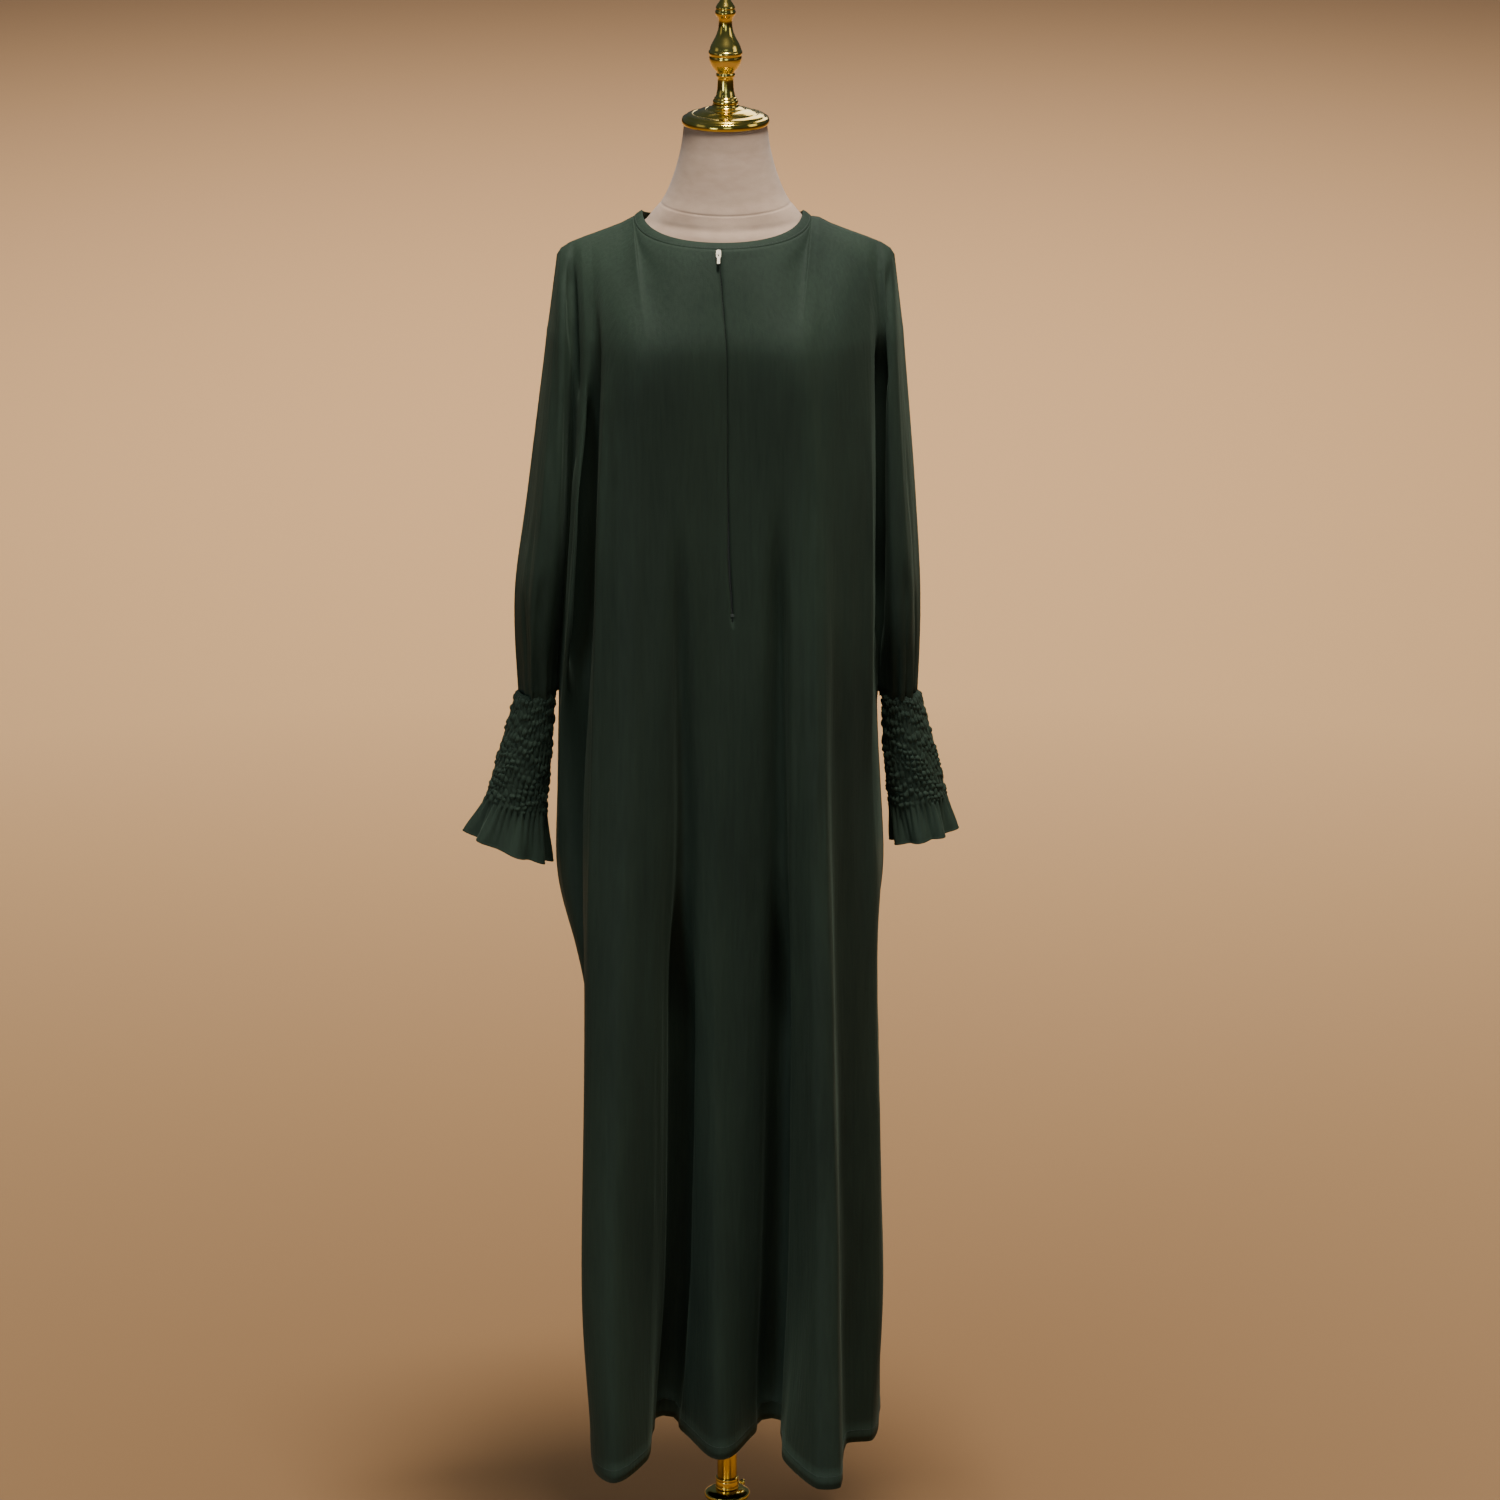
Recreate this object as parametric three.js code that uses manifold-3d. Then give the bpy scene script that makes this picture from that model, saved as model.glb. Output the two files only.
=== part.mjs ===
// A long loose batwing jilbab dress on a limbless dress form. Millimetres, +Z up, the front faces -Y,
// the origin is on the floor under the pole. Left and right are the viewer's.
import * as THREE from 'three';
import { mergeVertices } from 'three/addons/utils/BufferGeometryUtils.js';
import Module from 'manifold-3d';

// ---------------------------------------------------------------- driving dimensions
const CLOTH = 1.5; // wall of every cloth panel
const SEAM_GAP = 0.4; // air between two pieces that are sewn together
const HEM = 190; // mean height of the hem over the floor
const CUFF_TOP = 1080; // where the sleeves are gathered into the cuffs
const BUST = 1500; // below this level the cloth falls free
const NECK = { middle: -3.5, halfWidth: 89, front: 84, back: 60, side: 1635, frontZ: 1616, backZ: 1619 };
const BINDING = { width: 9.5, wall: 2.2, bulge: 0.6, slope: { side: 0.75, middle: 0.55 } };
const ZIP = { foot: 1201, tapeHalf: 12, tape: 1.0, tapeStart: 0.2, slit: 0.8 };
const SLIDER = { width: 5.5, thick: 2.4, length: 9, corner: 1.2, lift: 0.5, fromBinding: 1.5 };
const BAIL = { width: 1.0, length: 5, height: 2.6, wire: 0.9, sunk: 1 };
const PULL = { width: 3.4, thick: 1.0, length: 13, corner: 0.5, eye: 3.5, eyeWidth: 1.8, strip: 0.5 };
const CUFF = { segments: 40, wall: 2.4, shirrRows: 7, puff: 2.2, smallPuff: 0.77 };
const RUFFLE = { rows: 4, waves: 10, wave: 5.5 };
const UNEVEN = { share: 0.3, turns: 2.3, start: 1, shift: 0.2 }; // how the ruffle's waves differ round it
const POLE = { radius: 11.7, foot: 112, top: 869.6 };
const COLLAR = { radius: 13.6, foot: 97, top: 111.6 };
const KNOB = { radius: 3.2, length: 7, height: 104, gap: 0.3 };
const KNOB_OUT = COLLAR.radius + KNOB.gap + KNOB.length / 2;
const AROUND = { form: 28, cap: 36, finial: 20, collar: 20, base: 28, pole: 20, knob: 16 }; // sides of each
const CHEST_START = { middle: 32, neck: 18, tip: 6 }; // degrees round its ellipse where the cloth starts
const CHEST_STRAIGHT = 0.12; // how much of a straight fall is mixed into that ellipse
const FOLD_LEAN = 0.75; // how far the cloth leans on from a fold line: less makes sharper folds
const MERGE = 1e-4; // vertices closer than this are one

// ---------------------------------------------------------------- finishes
const finish = (color, roughness, metalness = 0) =>
  new THREE.MeshStandardMaterial({ color, roughness, metalness });
const crepe = finish(0x27342a, 0.82);
const binding = finish(0x223026, 0.78);
const tapeCloth = finish(0x141d17, 0.9);
const linen = finish(0xb6a48e, 0.9);
const gold = finish(0xc79a2b, 0.18, 1);
const zipMetal = finish(0xb9b3a4, 0.35, 1);

// ---------------------------------------------------------------- tables of the drape
// A table has named columns and one row for each level, from the top down.
function table(columns, ...rows) {
  const names = columns.trim().split(/\s+/);
  return rows.map((row) => Object.fromEntries(names.map((name, k) => [name, row[k]])));
}

// Smooth value of one column at height z: a cubic through the rows with limited slopes, so it can't swing.
function column(rows, name, z) {
  const last = rows.length - 1;
  if (z >= rows[0].z) return rows[0][name];
  if (z <= rows[last].z) return rows[last][name];
  const k = rows.findIndex((row, n) => n < last && z <= row.z && z >= rows[n + 1].z);
  const slope = (n) => (rows[n + 1][name] - rows[n][name]) / (rows[n + 1].z - rows[n].z);
  const tangent = (n) => {
    if (n === 0) return slope(0);
    if (n === last) return slope(last - 1);
    const [a, b] = [slope(n - 1), slope(n)];
    return a * b <= 0 ? 0 : (2 * a * b) / (a + b);
  };
  const [upper, lower] = [rows[k], rows[k + 1]];
  const span = lower.z - upper.z;
  const t = (z - upper.z) / span;
  return (
    upper[name] * (2 * t ** 3 - 3 * t ** 2 + 1) +
    span * tangent(k) * (t ** 3 - 2 * t ** 2 + t) +
    lower[name] * (-2 * t ** 3 + 3 * t ** 2) +
    span * tangent(k + 1) * (t ** 3 - t ** 2)
  );
}

// Where each fold of the front lies across (x) at each level. arm: overarm seam, sleeve: ridge of the sleeve,
// inner: inner edge of the sleeve, seam: crease beside the body that is the side seam below the cuff,
// wing: second ridge, tuck: crease between, edge: ridge that falls from the bust, ridge: fold of the skirt,
// neck: fold below the end of the shoulder seam, dip: crease beside the centre.
const FRONT_LEFT_X = table(
  'z     arm  sleeve inner  seam  wing  tuck  edge  ridge  neck   dip  slit',
  [1500, -199, -190, -177, -168, -155, -144, -132, -106,  -84,  -50,   2],
  [1300, -225, -206, -186, -175, -166, -150, -139, -109,  -84,  -50,   3],
  [1180, -240, -221, -197, -183, -175, -156, -143, -111,  -84,  -49,   8],
  [1080, -236, -221, -203, -190, -183, -162, -146, -113,  -82,  -47,   0],
  [ 950,    0,    0,    0, -193, -188, -168, -150, -115,  -80,  -46,  -9],
  [ 870,    0,    0,    0, -196, -189, -168, -153, -117,  -81,  -48, -11],
  [ 790,    0,    0,    0, -178, -174, -164, -156, -120,  -82,  -51, -12],
  [ 700,    0,    0,    0, -158, -158, -158, -159, -122,  -83,  -53, -12],
  [ 400,    0,    0,    0, -159, -160, -161, -165, -128,  -87,  -58, -11],
  [ 190,    0,    0,    0, -158, -158, -157, -153, -127,  -94,  -72,  -7],
);
const FRONT_LEFT_Y = table(
  'z     arm  sleeve inner  seam  wing  tuck  edge  ridge  neck   dip  slit',
  [1500,    0,  -38,  -50,  -44,  -70,  -84, -110, -132, -136, -136, -129],
  [1300,    0,  -56,  -62,  -34,  -92,  -80, -124, -140, -138, -136, -130],
  [1180,    0,  -52,  -52,  -20,  -88,  -70, -126, -145, -138, -132, -128],
  [1080,    0,  -32,  -24,   -2,  -52,  -62, -128, -149, -138, -126, -126],
  [ 950,    0,    0,    0,    0,  -30,  -56, -130, -153, -136, -116, -122],
  [ 870,    0,    0,    0,    0,  -26,  -58, -131, -156, -134, -108, -120],
  [ 790,    0,    0,    0,    0,  -28,  -64, -132, -159, -132, -100, -119],
  [ 700,    0,    0,    0,    0,  -30,  -66, -134, -162, -130,  -92, -118],
  [ 400,    0,    0,    0,    0,  -32,  -72, -138, -172, -120,  -68, -120],
  [ 190,    0,    0,    0,    0,  -34,  -74, -146, -178, -138,  -48, -122],
);
// The right side has one more crease, behind its sharper edge.
const FRONT_RIGHT_X = table(
  'z     arm  sleeve inner  seam  side  tuck  edge  ridge  neck  dip',
  [1500,  198,  190,  179,  171,  159,  124,  112,   96,   80,  55],
  [1300,  214,  200,  184,  172,  162,  121,  110,   97,   80,  55],
  [1180,  220,  206,  186,  172,  163,  120,  110,   97,   81,  56],
  [1080,  217,  204,  187,  171,  163,  120,  111,   97,   82,  56],
  [ 950,    0,    0,    0,  177,  166,  121,  114,   98,   82,  57],
  [ 870,    0,    0,    0,  181,  170,  123,  116,   98,   82,  58],
  [ 790,    0,    0,    0,  170,  170,  125,  119,   98,   82,  60],
  [ 700,    0,    0,    0,  170,  171,  127,  121,   99,   82,  59],
  [ 400,    0,    0,    0,  178,  178,  134,  128,  103,   82,  56],
  [ 190,    0,    0,    0,  180,  169,  138,  131,  103,   67,  50],
);
const FRONT_RIGHT_Y = table(
  'z     arm  sleeve inner  seam  side  tuck  edge  ridge  neck   dip',
  [1500,    0,  -38,  -50,  -44,  -71, -113, -123, -132, -136, -136],
  [1300,    0,  -52,  -58,  -34,  -84, -122, -134, -140, -138, -136],
  [1180,    0,  -50,  -50,  -20,  -84, -124, -140, -145, -139, -133],
  [1080,    0,  -32,  -24,   -2,  -78, -122, -144, -149, -139, -128],
  [ 950,    0,    0,    0,    0,  -70, -118, -150, -154, -139, -120],
  [ 870,    0,    0,    0,    0,  -70, -115, -154, -157, -138, -113],
  [ 790,    0,    0,    0,    0,  -70, -112, -158, -161, -136, -106],
  [ 700,    0,    0,    0,    0,  -71, -109, -162, -165, -134, -100],
  [ 400,    0,    0,    0,    0,  -77, -101, -175, -178, -128,  -78],
  [ 190,    0,    0,    0,    0,  -84,  -96, -189, -193, -134,  -56],
);
// The back, for its left half; the right half uses its own seams and sleeves with these folds turned round.
const BACK_X = table(
  'z    tuck  ridge  neck  fold  middle',
  [1500, 146,  112,   84,   46,   0],
  [1080, 154,  116,   84,   44,   0],
  [ 700, 152,  122,   86,   44,   0],
  [ 190, 152,  124,   92,   46,   0],
);
const BACK_Y = table(
  'z    sleeve inner seam tuck  ridge  neck  fold  middle',
  [1500,   38,   49,  46,  82,  103,  107,  110,   107],
  [1300,   56,   62,  36,  84,  112,  112,  114,   106],
  [1180,   52,   52,  20,  84,  118,  114,  114,   108],
  [1080,   32,   24,   2,  82,  124,  114,  112,   110],
  [ 790,    0,    0,   0,  80,  136,  112,  102,   112],
  [ 520,    0,    0,   0,  82,  146,  106,   90,   118],
  [ 190,    0,    0,   0,  86,  160,  104,   84,   128],
);
// How far each fold's hem hangs above or below the mean.
const HEM_RISE = {
  seam: 8, wing: 6, side: 4, tuck: 4, edge: -9, ridge: -9, neck: 0, dip: 8, slit: -4, fold: 4, middle: -2,
};
// Height of the shoulder seam by its distance from the middle.
const SHOULDER = table(
  'out      z',
  [  94,   1628.5],
  [ 104,   1627],
  [ 116,   1620.5],
  [ 138,   1612],
  [ 157,   1605],
  [ 173,   1598.5],
  [ 183,   1592],
  [ 187.5, 1585],
);

const mix = (a, b, t) => a + (b - a) * t;
const smooth = (t) => t * t * (3 - 2 * t);
const clamp01 = (t) => Math.min(1, Math.max(0, t));

function shoulderHeight(x) {
  const out = Math.abs(x);
  const beyond = SHOULDER.findIndex((row) => out < row.out);
  const k = beyond < 0 ? SHOULDER.length - 1 : Math.max(1, beyond);
  const [near, far] = [SHOULDER[k - 1], SHOULDER[k]];
  return mix(near.z, far.z, clamp01((out - near.out) / (far.out - near.out)));
}

// Point of the neck edge at a turn: 0 is the right shoulder, -90 or 270 the front, 180 the left, 90 the back.
function neckEdge(degrees, away = 0) {
  const turn = THREE.MathUtils.degToRad(degrees);
  const [c, s] = [Math.cos(turn), Math.sin(turn)];
  const reach = s < 0 ? NECK.front : NECK.back;
  const low = s < 0 ? NECK.frontZ : NECK.backZ;
  const sink = Math.abs(s) * (1.5 - 0.5 * Math.abs(s));
  const slope = mix(BINDING.slope.side, BINDING.slope.middle, Math.abs(s));
  return new THREE.Vector3(
    NECK.middle + (NECK.halfWidth + away) * c,
    (reach + away) * s,
    mix(NECK.side, low, sink) - away * slope,
  );
}

// ---------------------------------------------------------------- panels
// Where a fold line starts on the top edge of its panel: on a shoulder seam or round the neck.
const onShoulder = (x) => ({ x });
const onNeck = (turn) => ({ turn, x: neckEdge(turn, BINDING.width + SEAM_GAP).x });

// One fold line of a panel: its start, and its place at any height from the bust down.
const foldLine = (name, start, x, y) => ({ name, start, x, y });

function frontFolds() {
  const left = (name, start, shift = 0) =>
    foldLine(name, start, (z) => column(FRONT_LEFT_X, name, z) + shift, (z) => column(FRONT_LEFT_Y, name, z));
  const right = (name, start) =>
    foldLine(name, start, (z) => column(FRONT_RIGHT_X, name, z), (z) => column(FRONT_RIGHT_Y, name, z));
  return [
    left('arm', onShoulder(-187.5)),
    left('sleeve', onShoulder(-184)),
    left('inner', onShoulder(-177)),
    left('seam', onShoulder(-169)),
    left('wing', onShoulder(-160)),
    left('tuck', onShoulder(-149)),
    left('edge', onShoulder(-136)),
    left('ridge', onShoulder(-119)),
    left('neck', onNeck(180)),
    left('dip', onNeck(237)),
    left('slit', onNeck(267.5), -ZIP.slit / 2),
    left('slit', onNeck(268), ZIP.slit / 2),
    right('dip', onNeck(309)),
    right('neck', onNeck(360)),
    right('ridge', onShoulder(107)),
    right('edge', onShoulder(120)),
    right('tuck', onShoulder(132)),
    right('side', onShoulder(156)),
    right('seam', onShoulder(168)),
    right('inner', onShoulder(177)),
    right('sleeve', onShoulder(184)),
    right('arm', onShoulder(187.5)),
  ];
}
const FRONT_STEPS = [3, 3, 2, 2, 2, 2, 2, 2, 4, 3, 1, 3, 4, 2, 2, 1, 2, 2, 2, 3, 3];

function backFolds() {
  const half = (sign) => {
    const edges = sign < 0 ? FRONT_LEFT_X : FRONT_RIGHT_X;
    const out = (name) => (z) => column(BACK_Y, name, z);
    const across = (name) => (z) => column(edges, name, z);
    const outer = (name, start, y) => foldLine(name, onShoulder(sign * start), across(name), y);
    const fold = (name, start) => foldLine(name, start, (z) => sign * column(BACK_X, name, z), out(name));
    return [
      outer('arm', 187.5, () => 0),
      outer('sleeve', 184, out('sleeve')),
      outer('inner', 177, out('inner')),
      outer('seam', 169, out('seam')),
      fold('tuck', onShoulder(sign * 146)),
      fold('ridge', onShoulder(sign * 122)),
      fold('neck', onNeck(sign < 0 ? 180 : 0)),
      fold('fold', onNeck(sign < 0 ? 124 : 56)),
    ];
  };
  const middle = foldLine('middle', onNeck(90), () => 0, (z) => column(BACK_Y, 'middle', z));
  return [...half(-1), middle, ...half(1).reverse()];
}
const BACK_STEPS = [3, 3, 2, 2, 2, 2, 4, 2, 2, 4, 2, 2, 2, 2, 3, 3];

const CHEST_ROWS = 6;
const SLEEVE_ROWS = 7;
const SKIRT_ROWS = 11;
const CUFF_ROW = CHEST_ROWS + SLEEVE_ROWS;
const LAST_ROW = CUFF_ROW + SKIRT_ROWS;
const GATHER = { reach: 70, depth: 1.6 };
const SLEEVE_FOLDS = ['arm', 'sleeve', 'inner'];

// Calls visit(fold, t) for every step across a panel: t runs from 0 to 1 between that fold line and the next.
function acrossPanel(folds, steps, visit) {
  const line = steps.flatMap((count, fold) => [...Array(count).keys()].map((k) => visit(fold, k / count)));
  return [...line, visit(folds.length - 1, 0)];
}

// The top edge of a panel: along the shoulder seams and round the neck.
function topEdge(folds, steps) {
  return acrossPanel(folds, steps, (fold, t) => {
    const [a, b] = [folds[fold].start, (folds[fold + 1] ?? folds[fold]).start];
    const roundNeck = a.turn !== undefined && (t === 0 || b.turn !== undefined);
    if (roundNeck) return neckEdge(mix(a.turn, b.turn ?? a.turn, t), BINDING.width + SEAM_GAP);
    const x = mix(a.x, b.x, t);
    return new THREE.Vector3(x, 0, shoulderHeight(x));
  });
}

// A smooth line across the fold lines at one height; lift(fold) raises the hem of single folds.
function levelLine(folds, steps, z, lift = () => 0) {
  const hasSleeves = z >= CUFF_TOP;
  const places = folds.map((fold) => {
    if (!hasSleeves && SLEEVE_FOLDS.includes(fold.name)) return null;
    return new THREE.Vector3(fold.x(z), fold.y(z), z + lift(fold));
  });
  // the two edges of the slit lean as one line, so each looks past the other for its neighbour
  const beside = (fold, way) => {
    const isTwin = folds[fold + way]?.name === folds[fold].name;
    return places[isTwin ? fold + 2 * way : fold + way] ?? places[fold];
  };
  return acrossPanel(folds, steps, (fold, t) => {
    const [a, b] = [places[fold], places[fold + 1]];
    if (!a || (!b && t > 0)) return null;
    if (t === 0) return a.clone();
    return curveBetween(beside(fold, -1), a, b, beside(fold + 1, 1), t);
  });
}

// Over the shoulder and down the chest: each step follows part of an ellipse from the top edge to the bust.
function chestRow(top, bust, row) {
  return top.map((from, k) => {
    const to = bust[k];
    const round = clamp01(Math.abs(from.y) / NECK.front);
    const outward = clamp01((Math.abs(from.x) - NECK.halfWidth) / (SHOULDER.at(-1).out - NECK.halfWidth));
    const slope = mix(mix(CHEST_START.neck, CHEST_START.middle, round), CHEST_START.tip, outward);
    const start = THREE.MathUtils.degToRad(slope);
    const turn = mix(start, Math.PI / 2, row / CHEST_ROWS);
    const out = (Math.sin(turn) - Math.sin(start)) / (1 - Math.sin(start));
    const fall = (Math.cos(start) - Math.cos(turn)) / Math.cos(start);
    const forward = mix(out, fall, CHEST_STRAIGHT);
    return new THREE.Vector3(mix(from.x, to.x, fall), mix(from.y, to.y, forward), mix(from.z, to.z, fall));
  });
}

function panelRow(folds, steps, row) {
  if (row <= CHEST_ROWS) return chestRow(topEdge(folds, steps), levelLine(folds, steps, BUST), row);
  if (row <= CUFF_ROW) return levelLine(folds, steps, mix(BUST, CUFF_TOP, (row - CHEST_ROWS) / SLEEVE_ROWS));
  const t = (row - CUFF_ROW) / SKIRT_ROWS;
  return levelLine(folds, steps, mix(CUFF_TOP, HEM, t), (fold) => HEM_RISE[fold.name] * smooth(t));
}

// A cubic from a to b whose ends lean towards their neighbours, shortened so that sharp folds stay sharp.
function curveBetween(before, a, b, after, t) {
  const step = a.distanceTo(b);
  const lean = (from, to) => {
    const way = to.clone().sub(from);
    return way.length() > 0 ? way.setLength(step * FOLD_LEAN) : way;
  };
  const start = lean(before, b);
  const end = lean(a, after);
  const [t2, t3] = [t * t, t * t * t];
  return new THREE.Vector3()
    .addScaledVector(a, 2 * t3 - 3 * t2 + 1)
    .addScaledVector(start, t3 - 2 * t2 + t)
    .addScaledVector(b, -2 * t3 + 3 * t2)
    .addScaledVector(end, t3 - t2);
}

// Where the sleeves and the neck end in a panel, counted in grid steps from its left edge.
function panelMarks(folds, steps) {
  const stepOf = (fold) => steps.slice(0, fold).reduce((sum, n) => sum + n, 0);
  const names = folds.map((fold) => fold.name);
  return {
    across: stepOf(steps.length),
    sleeve: stepOf(names.indexOf('seam')),
    neckLeft: stepOf(names.indexOf('neck')),
    neckRight: stepOf(names.lastIndexOf('neck')),
  };
}

// The outer points of a panel as grid[row][step], with gathers above the cuffs and seams half a gap open.
function panelGrid(folds, steps, facing, marks) {
  const { across, sleeve } = marks;
  const grid = [];
  for (let row = 0; row <= LAST_ROW; row += 1) {
    const points = panelRow(folds, steps, row);
    points.forEach((point, step) => {
      if (!point) return;
      const fromEdge = Math.min(step, across - step);
      const overSleeve = fromEdge > 0 && fromEdge < sleeve && row <= CUFF_ROW;
      if (overSleeve) {
        const near = clamp01(1 - (point.z - CUFF_TOP) / GATHER.reach);
        point.y += facing * GATHER.depth * near * (fromEdge % 2 === 0 ? 1 : -1);
      }
      if (isSeam(step, row, marks)) point.y = (facing * SEAM_GAP) / 2;
    });
    grid.push(points);
  }
  return grid;
}

// The overarm seam, the shoulder seam and the side seam below the cuff.
function isSeam(step, row, { across, sleeve, neckLeft, neckRight }) {
  const fromEdge = Math.min(step, across - step);
  const onArm = fromEdge === 0 && row <= CUFF_ROW;
  const onShoulderSeam = row === 0 && (step <= neckLeft || step >= neckRight);
  const onSide = fromEdge === sleeve && row > CUFF_ROW;
  return onArm || onShoulderSeam || onSide;
}

// ---------------------------------------------------------------- walls
// Turns a grid of outer points into a closed wall: the same points moved in along their normals are its other
// side, and each open edge gets a rim. cells(row, step) tells which cells are cloth.
function wallGeometry({ grid, cells, thickness, flip = false, wrap = false, fixNormal = null }) {
  const rows = grid.length;
  const wide = grid[0].length;
  const stepsAcross = wrap ? wide : wide - 1;
  const next = (step) => (wrap ? (step + 1) % wide : step + 1);
  const isCloth = (row, step) => {
    if (row < 0 || row >= rows - 1) return false;
    const at = wrap ? (step + wide) % wide : step;
    return at >= 0 && at < stepsAcross && cells(row, at);
  };

  const normals = grid.map((line) => line.map(() => new THREE.Vector3()));
  for (let row = 0; row < rows - 1; row += 1) {
    for (let step = 0; step < stepsAcross; step += 1) {
      if (!isCloth(row, step)) continue;
      const corners = [[row, step], [row + 1, step], [row + 1, next(step)], [row, next(step)]];
      const [a, b, c, d] = corners.map(([r, s]) => grid[r][s]);
      const face = new THREE.Vector3().subVectors(c, a).cross(new THREE.Vector3().subVectors(d, b));
      if (flip) face.negate();
      face.normalize();
      corners.forEach(([r, s]) => normals[r][s].add(face));
    }
  }

  const positions = [];
  const outerIndex = [];
  const innerIndex = [];
  grid.forEach((line, row) => {
    outerIndex.push([]);
    innerIndex.push([]);
    line.forEach((point, step) => {
      const normal = normals[row][step];
      if (!point || normal.lengthSq() === 0) {
        outerIndex[row].push(-1);
        innerIndex[row].push(-1);
        return;
      }
      if (fixNormal) fixNormal(normal, row, step);
      normal.normalize();
      outerIndex[row].push(positions.push(point) - 1);
      innerIndex[row].push(positions.push(point.clone().addScaledVector(normal, -thickness)) - 1);
    });
  });

  const triangles = [];
  const quad = (a, b, c, d) => {
    // the shorter diagonal follows the fold better
    const ac = positions[a].distanceToSquared(positions[c]);
    const bd = positions[b].distanceToSquared(positions[d]);
    if (ac <= bd) triangles.push([a, b, c], [a, c, d]);
    else triangles.push([a, b, d], [b, c, d]);
  };
  for (let row = 0; row < rows - 1; row += 1) {
    for (let step = 0; step < stepsAcross; step += 1) {
      if (!isCloth(row, step)) continue;
      const ring = [[row, step], [row + 1, step], [row + 1, next(step)], [row, next(step)]];
      const outside = ring.map(([r, s]) => outerIndex[r][s]);
      const inside = ring.map(([r, s]) => innerIndex[r][s]);
      if (flip) {
        quad(outside[0], outside[3], outside[2], outside[1]);
        quad(inside[0], inside[1], inside[2], inside[3]);
      } else {
        quad(outside[0], outside[1], outside[2], outside[3]);
        quad(inside[0], inside[3], inside[2], inside[1]);
      }
      const beside = [[row, step - 1], [row + 1, step], [row, step + 1], [row - 1, step]];
      beside.forEach(([r, s], k) => {
        if (isCloth(r, s)) return;
        const [from, to] = flip ? [(k + 1) % 4, k] : [k, (k + 1) % 4];
        quad(outside[to], outside[from], inside[from], inside[to]);
      });
    }
  }
  return meshFrom(positions, triangles);
}

function meshFrom(positions, triangles) {
  const geometry = new THREE.BufferGeometry();
  const numbers = positions.flatMap((point) => point.toArray());
  geometry.setAttribute('position', new THREE.Float32BufferAttribute(numbers, 3));
  geometry.setIndex(triangles.flat());
  geometry.computeVertexNormals();
  return geometry;
}

function named(name, geometry, material, x = 0, y = 0, z = 0) {
  const mesh = new THREE.Mesh(geometry, material);
  mesh.name = name;
  mesh.position.set(x, y, z);
  return mesh;
}

function panelWall(folds, steps, facing, slitStep = -1) {
  const marks = panelMarks(folds, steps);
  const { across, sleeve } = marks;
  const grid = panelGrid(folds, steps, facing, marks);
  const slitRow = grid.findIndex((line) => line[Math.floor(across / 2)].z <= ZIP.foot);
  const cells = (row, step) => {
    if (step === slitStep && row < slitRow) return false;
    return row < CUFF_ROW || (step >= sleeve && step < across - sleeve);
  };
  const fixNormal = (normal, row, step) => {
    if (isSeam(step, row, marks)) normal.y = 0;
    if (row === 0 && step >= marks.neckLeft && step <= marks.neckRight) normal.set(0, 0, 1);
    const atCrotch = row === CUFF_ROW && Math.min(step, across - step) === sleeve;
    if (atCrotch) normal.set(0, facing, 0);
  };
  const geometry = wallGeometry({ grid, cells, thickness: CLOTH, flip: facing > 0, fixNormal });
  return { geometry, grid };
}

// ---------------------------------------------------------------- cuffs
// Left and right cuffs: the centre and half sizes of their rings, and how far each ring leans outwards.
const CUFF_SHAPE = {
  left: table(
    'at            x    y     z   wide deep lean',
    ['top',     -216,   0, 1079.5,  21,  30,   0],
    ['middle',  -228,  -3, 1010,    28,  27,   8],
    ['foot',    -240,  -4,  945,    35,  25,  16],
    ['ruffle',  -250,  -5,  896,    50,  33,  22],
  ),
  right: table(
    'at            x    y     z   wide deep lean',
    ['top',      198,   0, 1079.5,  20,  30,   0],
    ['middle',   208,  -3, 1012,    28,  27,   5],
    ['foot',     218,  -4,  952,    32,  25,  10],
    ['ruffle',   226,  -5,  910,    35,  33,  13],
  ),
};

function cuffRing(rows, along) {
  // along: 0 top, 1 middle, 2 foot, 3 end of the ruffle
  const k = Math.min(2, Math.floor(along));
  const t = along - k;
  const value = (name) => {
    const get = (n) => rows[Math.min(3, Math.max(0, n))][name];
    const [a, b, c, d] = [get(k - 1), get(k), get(k + 1), get(k + 2)];
    return b + 0.5 * t * (c - a + t * (2 * a - 5 * b + 4 * c - d + t * (3 * (b - c) + d - a)));
  };
  return Object.fromEntries(['x', 'y', 'z', 'wide', 'deep', 'lean'].map((name) => [name, value(name)]));
}

function cuffPoint(side, along, turn, raise) {
  const ring = cuffRing(CUFF_SHAPE[side], along);
  const sign = side === 'left' ? -1 : 1;
  const lean = THREE.MathUtils.degToRad(ring.lean);
  const out = (ring.wide + raise) * Math.cos(turn);
  const fore = (ring.deep + raise) * Math.sin(turn);
  return new THREE.Vector3(
    ring.x + sign * out * Math.cos(lean),
    ring.y - fore,
    ring.z + out * Math.sin(lean),
  );
}

// The outer points of a cuff. Shirring: rows of small puffs between the elastic threads, then a ruffle that
// waves more and more towards its free end.
const SHIRR_STEPS = CUFF.shirrRows * 2;
const cuffTurn = (k) => (k / CUFF.segments) * 2 * Math.PI;

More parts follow.
